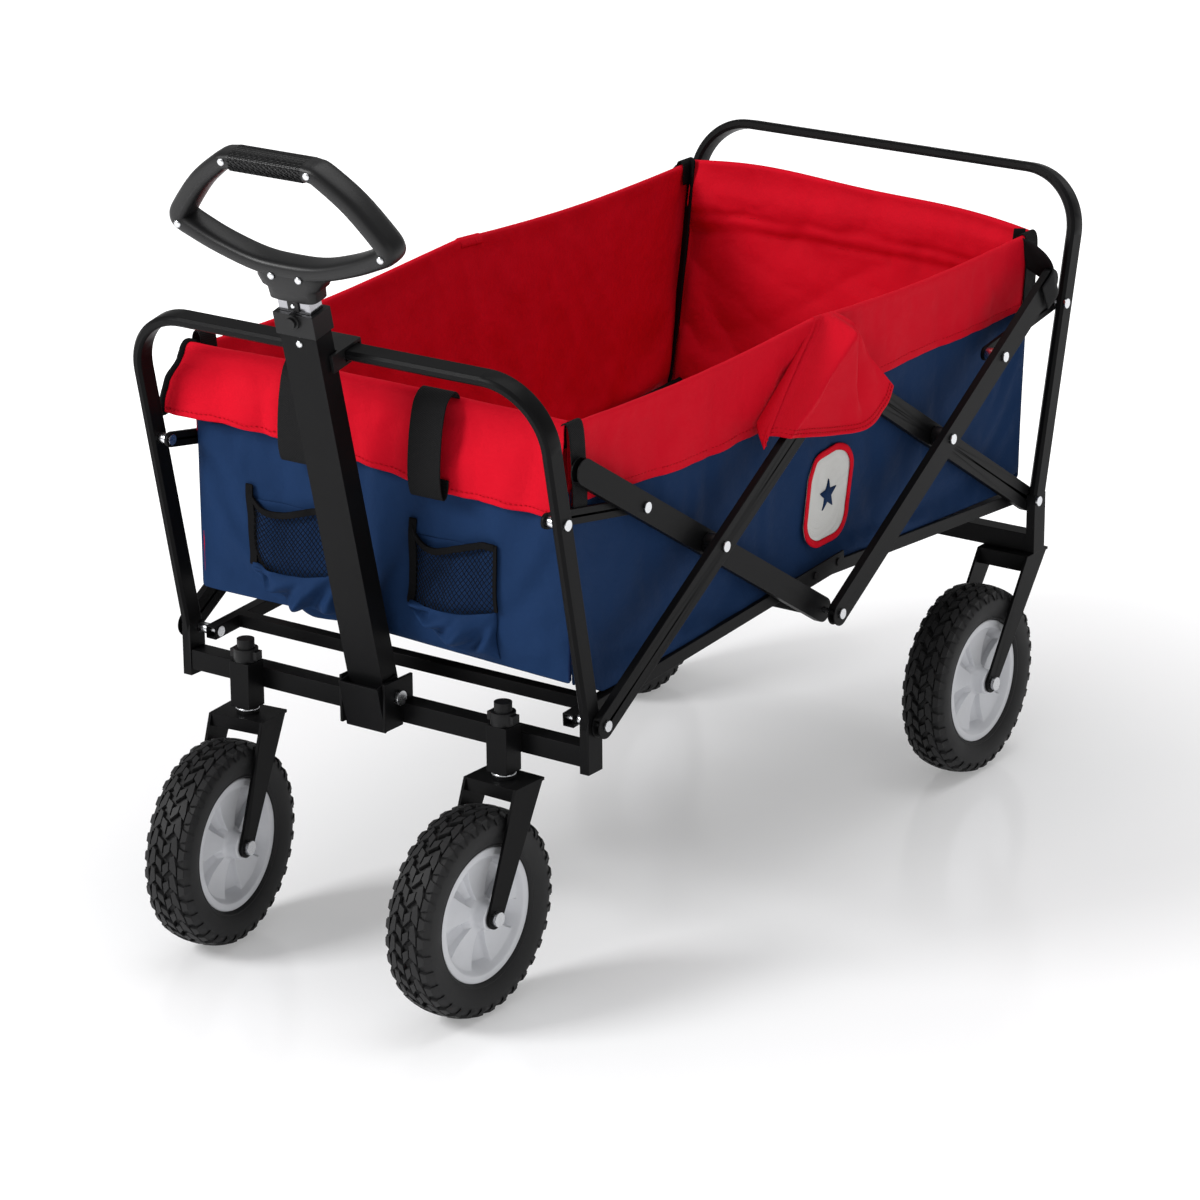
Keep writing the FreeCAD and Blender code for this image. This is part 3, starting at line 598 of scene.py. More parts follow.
def flare(u):
    """The far end of the front wall stands a little forward."""
    return 0.01 * ease(1 - 3 * u)


def inside(u, v):
    """0 at a wall's edges, 1 within."""
    return ease(min(u, 1 - u) * 14) * ease(min(v, 1 - v) * 7)


def creases(a, z, seed, lean=1.1):
    """Sharp-backed folds that run up the cloth at a slant, from 0 to 1."""
    found = 0.0
    for k, (turn, share) in enumerate(((lean, 0.6), (-0.6 * lean, 0.4))):
        along = a * cos(turn) + z * sin(turn)
        across = z * cos(turn) - a * sin(turn)
        ridge = abs(noise.noise(Vector((along * 5, across * 19, seed * 7 + k * 31))))
        found += share * (1 - ridge * 2.4) ** 3
    return max(0.0, found)


def side_wall(side):
    def place(u, v):
        x = side_x(u, v) + (flare(1 - u) if side < 0 else 0)
        z = mix(bottom(side, x), top(side, x), v)
        bow = (0.003 + 0.004 * creases(x, z, side)) * inside(u, v)
        return at(x, side * (WALL_Y - bow), z)

    def room(u):
        """The links of the front hoop pass close to the cloth."""
        return 0.0003 if u > 0.82 else 0.0028

    return settle(place, 104, 34, 0.012, -side, 0.008, room)


def end_top(y):
    """The tops of the end walls run from the far corner down to the near one."""
    return mix(TOP_FAR + 0.002, TOP_NEAR - 0.001, (y + HALF) / (2 * HALF))


def front_wall():
    def place(u, v):
        y = mix(-WALL_Y, WALL_Y, u)
        z = mix(mix(0.3275, 0.312, u), mix(0.5635, TOP_NEAR - 0.001, u), v)
        bulge = 0.009 * max(0, hump(u)) ** 0.7 * hump(min(1, v * 1.1))
        return at(CORNER + flare(u) + bulge + 0.0035 * creases(y, z, 5) * inside(u, v), y, z)

    return settle(place, 56, 34, 0.014, 1, 0.008, lambda u: 0.0035)


def rear_wall():
    def place(u, v):
        y = mix(-WALL_Y, WALL_Y, u)
        lift = 0.012 * hump(u) + 0.003 * sin(9 * u)
        z = mix(0.296, end_top(y) + lift, v)
        fold = (0.006 * creases(y, z, 9, 0.5) - 0.003) * inside(u, v)
        return at(mix(BACK, BACK_TOP, v ** 1.4) - fold, y, z)

    return settle(place, 56, 34, 0.014, -1, 0.009, lambda u: 0.006)


def rolled_top(outside, inside, roll, rise, steps=7):
    """Over the top of a wall: (v, out, lift) from the outer face to the inner one."""
    middle, reach = (outside + inside) / 2, (outside - inside) / 2
    turns = [pi * k / steps for k in range(steps + 1)]
    return [(1.0 - roll, outside, 0.0)] + [
        (1.0, middle + reach * cos(t), rise * sin(t)) for t in turns] + [(1.0 - roll, inside, 0.0)]


def navy_sheet(name, wall, edge, columns, rows):
    """The outer cloth, from the floor up to edge(u), under the red."""
    return layer(name, wall, NAVY, spread(0.0, 1.0, columns),
                 lambda u: [(v, 0.0002, 0.0) for v in spread(0.0, edge(u), rows)])


def lining(wall, u, out, rows):
    """The inner cloth, from the rolled top down to the floor."""
    return [(v, out(v), 0.0) for v in spread(0.95, wall.level(u, LINING_LOW), rows)]


def fold_up(obj):
    """The side cloth rides on the front frame, with a mesh of its own."""
    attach(obj, "front_frame")
    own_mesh(obj)


def build_side(side_name, side):
    wall = side_wall(side)

    def band_edge(u, rise=0.0):
        z = BAND + 0.004 * sin(5.5 * u + 0.6) + 0.006 * ease((u - 0.75) * 4)
        return wall.level(u, z + rise)

    def band_profile(u):
        edge = band_edge(u)
        hem = [(edge + 0.012, 0.0009, 0.0), (edge, 0.001, 0.0), (edge, 0.0019, 0.0)]
        x = side_x(u, 1.0)
        free = ease((0.29 - abs(x)) * 30)
        outer = []
        for v in spread(edge + 0.004, 0.965, 11):
            fold = creases(x * 0.8, v * 0.22, side * 3, 0.75 if x > 0 else -0.75)
            outer.append((v, 0.0019 + 0.0026 * free * fold * ease((v - edge) * 9), 0.0))
        inner = lining(wall, u, lambda v: -0.003, 26)
        return hem + outer + rolled_top(0.0026, -0.0038, 0.02, 0.003) + inner

    navy = navy_sheet(f"side_panel_{side_name}", wall, lambda u: band_edge(u, 0.016), 104, 26)
    band = layer(f"side_band_{side_name}", wall, RED, spread(0.0, 1.0, 104), band_profile)
    line = [wall.at(u, band_edge(u, 0.0075), 0.0026) for u in spread(0.004, 0.996, 320)]
    sewn = stitches(f"side_band_stitches_{side_name}", line, RED_THREAD)
    for obj in (navy, band, sewn):
        fold_up(obj)
    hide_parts(f"tub_{side_name}_wall")
    return wall


def build_front():
    wall = front_wall()

    navy = navy_sheet("front_panel", wall, lambda u: wall.level(u, BAND + 0.02), 56, 24)

    def cuff_edge(u):
        return mix(0.502, 0.4735, ease(u * 1.1)) + 0.0012 * sin(17 * u)

    def puff(u, v):
        """How far the cuff stands off the wall; it is loosest between the loops."""
        p = wall.point(u, v)
        loose = noise.noise(Vector((p.y * 13, p.z * 17, 4.0))) * 0.0035
        pleat = 0.0055 * exp(-((u - 0.43) / 0.055) ** 2) * exp(-((v - 0.93) / 0.07) ** 2)
        stand = mix(0.0175, 0.008, ease(u * 1.6))
        fold = 0.0035 * creases(p.y, p.z, 13, 0.4)
        return stand * hump(min(1, max(0, (v - 0.52) / 0.5)) ** 0.9) + loose + pleat + fold

    def cuff_profile(u):
        edge = wall.level(u, cuff_edge(u))
        hem = [(edge + 0.03, 0.0012, 0.0), (edge + 0.004, 0.0012 + 0.8 * puff(u, edge), 0.0),
               (edge, 0.0024 + 0.9 * puff(u, edge), 0.0)]
        outer = [(v, 0.003 + puff(u, v), 0.0) for v in spread(edge + 0.006, 0.955, 12)]
        tip = rolled_top(0.0035 + puff(u, 0.955), -0.004, 0.012, 0.0075, 9)
        inner = [(v, -0.0035, 0.0) for v in spread(0.94, wall.level(u, LINING_LOW), 24)]
        return hem + outer + tip + inner

    def spill(spot):
        """The far end of the cuff hangs past the corner, more so lower down."""
        if spot.x > at(CORNER + flare(u_at(spot.y)), 0, 0).x + 0.0008 and spot.z > 0.488:
            spot.y -= mix(0.005, 0.023, ease((0.572 - spot.z) / 0.065)) * ease((-0.13 - spot.y) / 0.085)

    cuff = layer("front_cuff", wall, RED, spread(0.0, 1.0, 60), cuff_profile)
    for vertex in cuff.data.vertices:
        spill(vertex.co)
    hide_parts("tub_front_wall")
    line = []
    for u in spread(0.006, 0.994, 200):
        v = wall.level(u, cuff_edge(u) + 0.0065)
        spot = wall.at(u, v, 0.0042 + puff(u, v))
        spill(spot)
        line.append(spot)
    sewn = stitches("cuff_stitches", line, RED_THREAD)
    for obj in (navy, cuff, sewn):
        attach(obj, "front_frame")
    return wall


def lining_out(wall, u, v):
    """The rear lining stands away from the outer cloth towards the floor, with two puckered seams."""
    p = wall.point(u, v)
    seams = sum(exp(-((p.z - z - seam_drift(u)) / 0.0028) ** 2) for z in (0.52, 0.502))
    puff = 0.0085 * ease((p.z - 0.5) / 0.03) * ease((0.575 - p.z) / 0.03)
    pucker = 0.005 * creases(p.y * 1.6, p.z * 0.5, 21, 1.5) * exp(-((p.z - 0.515) / 0.035) ** 2)
    return -0.0035 - 0.033 * (1 - v) ** 1.3 * mix(1.0, 0.5, u) - puff + 0.0046 * seams + pucker


def seam_drift(u):
    return 0.01 * hump(u) + 0.006 * (0.5 - u)


def build_rear():
    wall = rear_wall()

    def band_profile(u):
        edge = wall.level(u, BAND + 0.006)
        outer = [(v, 0.0019, 0.0) for v in spread(edge, 0.965, 10)]
        inner = lining(wall, u, lambda v: lining_out(wall, u, v), 44)
        return [(edge, 0.001, 0.0)] + outer + rolled_top(0.003, -0.0045, 0.02, 0.004) + inner

    navy = navy_sheet("rear_panel", wall, lambda u: wall.level(u, BAND + 0.02), 56, 24)
    band = layer("rear_band", wall, RED, spread(0.0, 1.0, 60), band_profile)
    for vertex in band.data.vertices:
        limit = WALL_Y - 0.009 * ease((vertex.co.x - at(BACK_TOP, 0, 0).x - 0.003) / 0.01)
        vertex.co.y = max(-limit, min(limit, vertex.co.y))
    seams = []
    for name, z, out in (("upper", 0.52, None), ("lower", 0.502, None), ("band", 0.491, 0.0026)):
        line = []
        for u in spread(0.004, 0.996, 180):
            v = wall.level(u, z + (0 if out else seam_drift(u)))
            line.append(wall.at(u, v, out or lining_out(wall, u, v) - 0.0006))
        seams.append(stitches(f"rear_seam_{name}", line, RED_THREAD))
    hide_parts("tub_rear_wall")
    for obj in (navy, band, *seams):
        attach(obj, "rear_frame")
    return wall


# --- flaps over the top joints -------------------------------------------------------------

HEM = ((0.106, 0.2185, 0.487), (0.119, 0.23, 0.48), (0.1292, 0.2425, 0.4706),
       (0.1268, 0.24, 0.4745), (0.119, 0.2355, 0.478), (0.11, 0.2385, 0.4788),
       (0.101, 0.2465, 0.4765), (0.086, 0.2545, 0.4735), (0.0716, 0.2575, 0.4709),
       (0.0323, 0.258, 0.4625), (-0.0128, 0.258, 0.4556), (-0.0463, 0.257, 0.4585),
       (-0.074, 0.2545, 0.4665), (-0.09, 0.2505, 0.477), (-0.0935, 0.249, 0.48))
FLAP_STEPS = 84
FLAP_OUT = 0.2545


def over_bars(x, z):
    """How far out the cloth must be to clear the bars, which meet under it at the top joint."""
    run, rise = TOP_JOINT.x - FOOT.x, TOP_JOINT.z - FOOT.z
    edge = TOP_JOINT.z + 0.0147 + x * rise / run
    out = mix(FLAP_OUT, 0.236, ease((-0.016 - x) / 0.02))
    return mix(WALL_Y, out, ease((edge + 0.017 - z) / 0.016))


def build_flap(side_name, side):
    """A loose fold of the band: it fans out from the top edge and hangs over the bars where they meet."""
    rows = []
    for k, low in enumerate(smooth_line([Vector(p) for p in HEM], FLAP_STEPS)):
        s = k / FLAP_STEPS
        x_top = mix(0.000, -0.036, s)
        peak = top(side, x_top) + 0.001
        slack = mix(1.0, 1.9, ease(1 - abs(s - 0.22) / 0.13))
        row = [at(x_top, side * (WALL_Y + out), peak + rise) for out, rise in
               ((-0.0052, -0.007), (-0.0048, -0.001), (-0.001, 0.0032), (0.002, 0.0028))]
        for t in spread(0.07, 1.0, 26):
            x, z = mix(x_top, low.x, t), mix(peak, low.z, t)
            y = max(mix(WALL_Y + 0.003, low.y, t ** slack), over_bars(x, z))
            ripple = 0.0024 * sin(15 * s + 3.0 * t)
            ripple += 0.003 * noise.noise(Vector((x * 24, side * 3.0, z * 30)))
            y += max(-0.0005, ripple) * ease(t * 1.8) * ease((s - 0.26) * 5) * ease((1.04 - s) * 9)
            row.append(at(x, side * y, z))
        rows.append(row)
    flap = thicken(lofted(f"flap_{side_name}", rows, RED), 0.001, 1)
    sewn = []
    for inset, name in ((2, "outer"), (3, "inner")):
        line = [row[-inset] + Vector((0, side * 0.0011, 0)) for row in rows]
        sewn.append(stitches(f"flap_stitches_{name}_{side_name}", line, RED_THREAD, 0.0045))
    for obj in (flap, *sewn):
        fold_up(obj)


# --- straps, piping, loops, pockets, patch -------------------------------------------------

def line_on(wall, u, low, high, out):
    return [wall.at(u, v, out) for v in spread(low, high, 40)]


def build_piping(walls):
    """Black cord-like binding down the corner seams and over the cuff's right end, and a thin navy cord
    down the front's left corner.
    """
    front, rear = walls["front"], walls["rear"]
    made = []
    for name, side in SIDES:
        u = 0.992 if side > 0 else 0.008
        inner = line_on(front, u, 0.03, 0.985, -0.0065)
        made.append(("front_frame", tube(f"piping_front_{name}", inner, 0.0019, BINDING)))
        low, high = (rear.at(u, v, lining_out(rear, u, v) - 0.003) for v in (0.13, 0.985))
        low.y -= side * 0.006
        high.y -= side * 0.0045
        spots = [low.lerp(high, t) + Vector((0.005, -side * 0.005, 0)) * hump(t)
                 for t in spread(0.0, 1.0, 30)]
        spots.append(high + Vector((-0.002, 0, 0.011)))
        across = Vector((0.55, -side * 0.84, 0)).normalized()
        binding = ribbon(f"corner_binding_{name}", spots, across, 0.0125, 0.0024, BINDING)
        made.append(("rear_frame", binding))
    cuff = bpy.data.objects["front_cuff"]
    hem, outer, tip, inner = 3, 13, 12, 3
    end = [cuff.data.vertices[k].co.copy() for k in range(1, hem + outer + tip + inner)]
    made.append(("front_frame", tube("piping_cuff_right", end, 0.0036, BINDING)))
    near = line_on(front, 1.0, 0.02, 0.62, 0.0025)
    made.append(("front_frame", tube("piping_outer_left", near, 0.0014, NAVY_THREAD)))
    for body, obj in made:
        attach(obj, body)


def build_corner_straps():
    """Webbing from each corner of the tub, over the bar's tip and down behind it."""
    for name, side in SIDES:
        for end, sign, body in (("front", 1, "front_frame"), ("rear", -1, "rear_frame")):
            x = CORNER - 0.004 if sign > 0 else BACK_TOP + 0.008
            high = end_top(side * HALF)
            y = WALL_Y + 0.0035
            path = [(x - sign * 0.002, y - 0.009, high - 0.02), (x, y - 0.008, high + 0.002),
                    (x, y - 0.002, high + 0.0055), (x, y + 0.0015, high - 0.004),
                    (x - sign * 0.002, y + 0.002, high - 0.03),
                    (x - sign * 0.004, y + 0.0018, high - 0.058),
                    (x - sign * 0.005, y + 0.001, high - 0.082)]
            points = smooth_line([at(a, side * b, c) for a, b, c in path], 30)
            strap = ribbon(f"corner_strap_{end}_{name}", points, Vector((1, 0, 0)), 0.0225, 0.0014, WEBBING)
            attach(strap, body)


GUSSET_UPPER = ((-0.396, 0.0015, 0.56), (-0.3985, 0.015, 0.5545), (-0.3995, 0.03, 0.544),
                (-0.396, 0.0388, 0.531), (-0.374, 0.039, 0.5165))
GUSSET_LOWER = ((-0.4, 0.0015, 0.528), (-0.405, 0.015, 0.519), (-0.411, 0.029, 0.51),
                (-0.4085, 0.0388, 0.502), (-0.3875, 0.039, 0.4895))


def build_tip_sleeves():
    """Webbing gussets that tie the rear corners of the tub to the tips of the bars."""
    for name, side in SIDES:
        rise = end_top(side * HALF) - end_top(HALF)
        edges = []
        for spots in (GUSSET_UPPER, GUSSET_LOWER):
            line = [at(x, side * (WALL_Y + y), z + rise * (1 - k / 4) ** 2)
                    for k, (x, y, z) in enumerate(spots)]
            edges.append(smooth_line(line, 26))
        rows = [[a.lerp(b, t) for t in spread(0.0, 1.0, 6)] for a, b in zip(*edges)]
        sleeve = thicken(lofted(f"tip_sleeve_{name}", rows, WEBBING), 0.0018)
        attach(sleeve, "rear_frame")


def build_loops():
    """Two loops of wide webbing sewn over the cuff, to stow the handle."""
    for name, side in SIDES:
        y = side * 0.076
        high = end_top(y)
        base = CORNER + 0.008
        path = [(base - 0.008, high - 0.03), (base - 0.007, high - 0.004), (base + 0.002, high + 0.0105),
                (base + 0.0155, high + 0.002), (base + 0.0215, high - 0.022), (base + 0.0235, high - 0.05),
                (base + 0.0225, high - 0.074), (base + 0.0175, high - 0.089), (base + 0.0115, high - 0.086),
                (base + 0.01, high - 0.072)]
        points = [at(a, y - 0.0045 * (high - b) / 0.09, b) for a, b in path]
        strap = ribbon(f"loop_{name}", smooth_line(points, 46), Vector((0, 1, 0)), 0.0375, 0.0016,
                       WEBBING, 2)
        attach(strap, "front_frame")


def build_pocket(name, wall, y0, y1):
    """A gathered pocket with a net front, a bound elastic top and a bound side."""
    def spot(y, z, out):
        u = u_at(y)
        return wall.at(u, wall.level(u, z), out)

    def top_z(s):
        return mix(0.4405, 0.435, s) - 0.0215 * hump(min(1, s * 1.12) ** 0.62) * (1 - 0.55 * s)

    def swell(s, t):
        return 0.0025 + 0.0085 * hump(s) ** 0.8 * mix(1.0, 0.75, t)

    def net_low(s):
        return mix(0.366, 0.373, s) - 0.004 * hump(s)

    def net_point(s, t):
        return spot(mix(y0, y1, s), mix(net_low(s), top_z(s) - 0.001, t), swell(s, t))

    across, up = 40, 22
    points = [net_point(i / across, j / up) for i in range(across + 1) for j in range(up + 1)]
    faces = []
    for i in range(1, across):
        for j in range(1, up):
            if (i + j) % 2:
                here = i * (up + 1) + j
                faces.append((here - 1, here + up + 1, here + 1, here - up - 1))
    net = piece(f"pocket_net_{name}", points, faces, BINDING, [(p.y, p.z) for p in points])
    wires = net.modifiers.new("threads", "WIREFRAME")
    wires.thickness, wires.use_even_offset = 0.00105, False
    behind = layer(f"pocket_back_{name}", wall, NAVY,
                   spread(u_at(y0), u_at(y1), 14),
                   lambda u: [(wall.level(u, z), 0.0011, 0.0) for z in spread(0.36, 0.43, 9)])
    pouch = []
    for s in spread(0.0, 1.0, 40):
        row = []
        low = mix(0.356, 0.3215, ease(s * 1.4)) - 0.004 * hump(s)
        for t in spread(0.0, 1.0, 18):
            gather = noise.noise(Vector((s * 5.5 + 2.6 * t, t * 2.3, y0 * 40))) * 0.013
            ripple = 0.0052 * sin(17 * s + 6.5 * t + 2.0 * noise.noise(Vector((s * 3, t * 2, 1.0))))
            belly = 0.0105 * hump(t) ** 0.9 * hump(s) ** 0.5
            edge = 0.0012 + (swell(s, 0) - 0.0012) * (1 - t) ** 1.2
            fade = hump(min(1, t * 1.15)) ** 0.8 * hump(s) ** 0.4
            row.append(spot(mix(y0 - 0.002, y1, s), mix(net_low(s) + 0.001, low, t),
                            edge + max(-0.0005, belly + (gather + ripple) * fade)))
        pouch.append(row)
    gathered = thicken(lofted(f"pocket_pouch_{name}", pouch, NAVY), 0.0009, 1)
    hem = [net_point(s, 0.985) + Vector((0.0006, 0, 0)) for s in spread(0.0, 1.0, 44)]
    elastic = ribbon(f"pocket_top_{name}", hem, Vector((0.12, 0, 1)).normalized(), 0.0068, 0.0024, BINDING)
    bound = [net_point(0.0, t) + Vector((0.0008, 0, 0)) for t in spread(-0.03, 1.06, 20)]
    left = ribbon(f"pocket_side_{name}", bound, Vector((0, 1, 0)), 0.0085, 0.002, BINDING)
    bound = [net_point(1.0, t) + Vector((0.0006, 0, 0)) for t in spread(0.0, 1.03, 20)]
    right = ribbon(f"pocket_edge_{name}", bound, Vector((0, 1, 0)), 0.004, 0.0016, BINDING)
    for obj in (net, behind, gathered, elastic, left, right):
        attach(obj, "front_frame")


def rounded_outline(wide, high, corner):
    points = []
    for sx, sy, start in ((1, 1, 0), (-1, 1, 90), (-1, -1, 180), (1, -1, 270)):
        for k in range(9):
            a = radians(start + 90 * k / 8)
            points.append((sx * (wide / 2 - corner) + corner * cos(a),
                           sy * (high / 2 - corner) + corner * sin(a)))
    return points


def build_patch(wall):
    """A plain sewn patch: a pale field, a raised red edge and one small navy star."""
    x, z, wide, high = -0.033, 0.3785, 0.078, 0.095

    def on_wall(a, b):
        u = (x - a - BACK) / (CORNER - BACK)
        return wall.point(u, wall.level(u, z + b))

    edges = [on_wall(a, b).y for a in (-wide / 2, 0, wide / 2) for b in (-high / 2, 0, high / 2)]
    level = sum(edges) / len(edges)

    def spot(a, b, out):
        """The stiff patch bridges the finer creases of the cloth."""
        p = on_wall(a, b)
        p.y = max(level, p.y) + out
        return p

    outline = rounded_outline(wide, high, 0.026)
    rings = [[spot(a * share, b * share, 0.0008 if share == 1 else 0.0022) for a, b in outline]
             for share in (0.0, 0.25, 0.5, 0.75, 0.96, 1)]
    field = lofted("patch", rings, PATCH, ring=True)
    rim = [spot(a * 0.955, b * 0.965, 0.0026) for a, b in outline]
    rows, over = [], Vector((0, 1, 0))
    for k, p in enumerate(rim):
        flat = (rim[(k + 1) % len(rim)] - rim[k - 1]).normalized().cross(over).normalized()
        rows.append([p + flat * (0.0036 * cos(t)) + over * (0.0009 * sin(t)) for t in turns(8)])
    edge = lofted("patch_edge", rows, RED, ring=True, loop=True)
    tips = []
    for k in range(10):
        a, r = pi / 2 + pi * k / 5, 0.007 if k % 2 else 0.0165
        tips.append((r * cos(a), r * sin(a)))
    low = [spot(a, b, 0.002) for a, b in tips]
    high = [spot(a * 0.96, b * 0.96, 0.0034) for a, b in tips]
    star = lofted("patch_star", [low, high, [spot(0, 0, 0.0036)] * 10], NAVY, ring=True)
    for obj in (field, edge, star):
        fold_up(obj)


# --- floor mat -----------------------------------------------------------------------------

def mat_low(x):
    """The underside of the mats, which curl up a little at the rear."""
    return mix(RAIL_HIGH + 0.001, MAT_LOW, min(1, abs(x) / 0.4)) + 0.011 * ease((-x - 0.27) / 0.1)


def build_mat():
    """Two padded boards, hinged at the middle, that lie on the floor rails."""
    for end, sign in (("front", 1), ("rear", -1)):
        rows = []
        long, half = (0.389 if sign > 0 else 0.384), 0.195
        for i in range(41):
            x = sign * mix(0.0012, long, i / 40)
            low = mat_low(x)
            edge = ease(min(i / 3, (40 - i) / 3))
            row = []
            for j in range(41):
                y = mix(-half, half, j / 40)
                soft = ease(min(j / 3, (40 - j) / 3)) * edge
                quilt = 0.0012 * abs(hump(j / 10)) * abs(hump(i / 10))
                bump = noise.noise(Vector((x * 9, y * 9, 2.0))) * 0.0012
                row.append(at(x, y, low + 0.005 + (0.0065 + quilt * 2 + bump) * soft))
            row += [at(x, mix(half, -half, j / 8), low) for j in range(9)]
            rows.append(row)
        mat = lofted(f"{end}_mat", rows, RED, ring=True, caps=True)
        mat.data.materials.append(BINDING)
        for polygon in mat.data.polygons:
            level = sum(mat.data.vertices[k].co.z for k in polygon.vertices) / len(polygon.vertices)
            away = abs(polygon.center.x - MID)
            polygon.material_index = int(level < mat_low(sign * away) + 0.0045)
        bound = [at(sign * a, b, mat_low(sign * a) + 0.0075) for a, b in
                 ((0.0022, -half), (0.0022, half), (long, half), (long, -half), (0.0022, -half))]
        line = []
        for a, b in zip(bound, bound[1:]):
            line += [a.lerp(b, t) for t in spread(0.0, 0.96, 16)]
        binding = tube(f"{end}_mat_binding", line + [bound[-1]], 0.005, BINDING)
        for obj in (mat, binding):
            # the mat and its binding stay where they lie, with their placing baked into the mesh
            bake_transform(obj)
        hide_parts(f"{end}_floor_board")


# --- wheels --------------------------------------------------------------------------------

TYRE_R, BEAD_R, FLANGE_R = 0.1, 0.062, 0.065
TYRE_HALF, BEAD_HALF = 0.02435, 0.0165
TREAD = 0.0042


class Wheel:
    def __init__(self, tyre, rim, joint):
        self.tyre, self.rim = tyre, rim
        self.spot = centre(tyre)
        self.axis = Vector(JOINTS[joint]["axis"]).normalized()
        if self.axis.y < 0:
            self.axis = -self.axis
        self.ahead = self.axis.cross(Vector((0, 0, 1))).normalized()
        self.up = self.ahead.cross(self.axis)

    def at(self, turn, radius, across):
        return (self.spot + self.axis * across
                + (self.ahead * cos(turn) + self.up * sin(turn)) * radius)

    def crown(self, across):
        """Radius of the tread's outer face, falling towards the shoulders."""
        t = abs(across) / (TYRE_HALF - 0.004)
        return TYRE_R - 0.0032 * t ** 2.4

    def carcass(self):
        shoulder = ((0.0, 0.0), (0.0012, 0.0034), (0.0038, 0.0046), (0.0046, 0.0058), (0.0044, 0.007),
                    (0.0064, 0.01))
        half = [(BEAD_HALF + a, BEAD_R + r) for a, r in shoulder]
        half += [(TYRE_HALF, BEAD_R + 0.018), (TYRE_HALF, TYRE_R - 0.013),
                 (TYRE_HALF - 0.0012, TYRE_R - 0.009), (TYRE_HALF - 0.004, TYRE_R - 0.006),
                 (TYRE_HALF - 0.01, TYRE_R - TREAD - 0.0006), (0.0, TYRE_R - TREAD)]
        profile = half + [(-a, r) for a, r in half[-2::-1]]
        rows = [[self.at(t, r, a) for a, r in profile] for t in turns(96)]
        return lofted("carcass", rows, RUBBER, loop=True)

    def lug(self, points, faces, turn, outline, sink):
        """A raised block: outline gives (along the tread, across it) in metres."""
        base, n = len(points), len(outline)
        middle = [sum(p[k] for p in outline) / n for k in (0, 1)]
        for swell, rise in ((1.1, -sink), (1.0, -0.001), (0.93, 0.0)):
            for along, across in outline:
                a = middle[1] + (across - middle[1]) * swell
                b = middle[0] + (along - middle[0]) * swell
                points.append(self.at(turn + b / TYRE_R, self.crown(a) + rise, a))
        points.append(self.at(turn + middle[0] / TYRE_R, self.crown(middle[1]), middle[1]))
        for k in range(n):
            m = (k + 1) % n
            for level in (0, 1):
                low = base + level * n
                faces.append((low + k, low + m, low + n + m, low + n + k))
            faces.append((base + 2 * n + k, base + 2 * n + m, base + 3 * n))

    def tread(self):
        """Rows of chevron blocks, with a block that wraps each shoulder."""
        points, faces = [], []
        count = 34
        pitch = 2 * pi / count
        step = TYRE_R * pitch
        for k in range(count):
            turn = k * pitch
            for side in (1, -1):
                for row, (low, high) in enumerate(((0.0006, 0.0072), (0.008, 0.0152))):
                    shift = step * (0.5 * row + (0.25 if side < 0 else 0.0))
                    lean = step * 0.42 * (1 if row == 0 else -1)
                    long = step * 0.8
                    outline = [(shift, side * low), (shift + lean, side * high),
                               (shift + lean + long * 0.55, side * high),
                               (shift + long * 0.98, side * mix(low, high, 0.6)),
                               (shift + long * 0.8, side * low)]
                    self.lug(points, faces, turn, outline, TREAD)
                shift = step * (0.95 if side > 0 else 0.55)
                wrap = side * (TYRE_HALF - 0.0025)
                outline = [(shift, side * 0.0162), (shift + step * 0.12, wrap),
                           (shift + step * 0.58, wrap), (shift + step * 0.72, side * 0.0162)]
                self.lug(points, faces, turn, outline, TREAD + 0.001)
                base = len(points)
                for along, sunk, out in ((0.12, 0.0048, -0.0028), (0.16, 0.0105, 0.001),
                                         (0.28, 0.0145, -0.0004), (0.44, 0.0145, -0.0004),
                                         (0.56, 0.0105, 0.001), (0.6, 0.0048, -0.0028)):
                    points.append(self.at(turn + (shift + along * step) / TYRE_R, TYRE_R - sunk,
                                          side * (TYRE_HALF + out)))
                faces.append(tuple(range(base, base + 6)))
        return piece("tread", points, faces, RUBBER, [(p.x, p.z) for p in points], smooth=False)

    def rim_profile(self, turn):
        """One face of the rim; five broad spokes stand between V-shaped hollows."""
        fifth = 2 * pi / 5
        off = abs((turn + 0.31 + fifth / 2) % fifth - fifth / 2)
        half_angle = 0.275
        inside = max(0.0, min(1.0, (half_angle - off) / 0.03))
        groove = inside * (0.0055 + 0.005 * (1 - off / half_angle if off < half_angle else 0))
        rows = [(0.0045, 0.026), (0.0115, 0.0264), (0.0128, 0.0252), (0.0132, 0.0165), (0.015, 0.0135)]
        for k in range(12):
            r = mix(0.0165, 0.0535, k / 11)
            dish = 0.0125 - 0.002 * hump(k / 11)
            cut = groove * (1.0 if 0 < k < 11 else 0.0) * mix(0.75, 1.0, k / 11)
            rows.append((r, dish - cut))
        rows += [(0.0552, 0.0142), (0.0566, 0.0176), (0.058, 0.0186), (FLANGE_R - 0.0008, 0.0186),
                 (FLANGE_R, 0.0178), (FLANGE_R, 0.0171), (BEAD_R, 0.0166)]
        return rows

    def rim_faces(self):
        rows = []
        for turn in turns(180):
            face = self.rim_profile(turn)
            rows.append([self.at(turn, r, a) for r, a in face]
                        + [self.at(turn, r, -a) for r, a in face[::-1]])
        return lofted("rim", rows, RIM, loop=True)

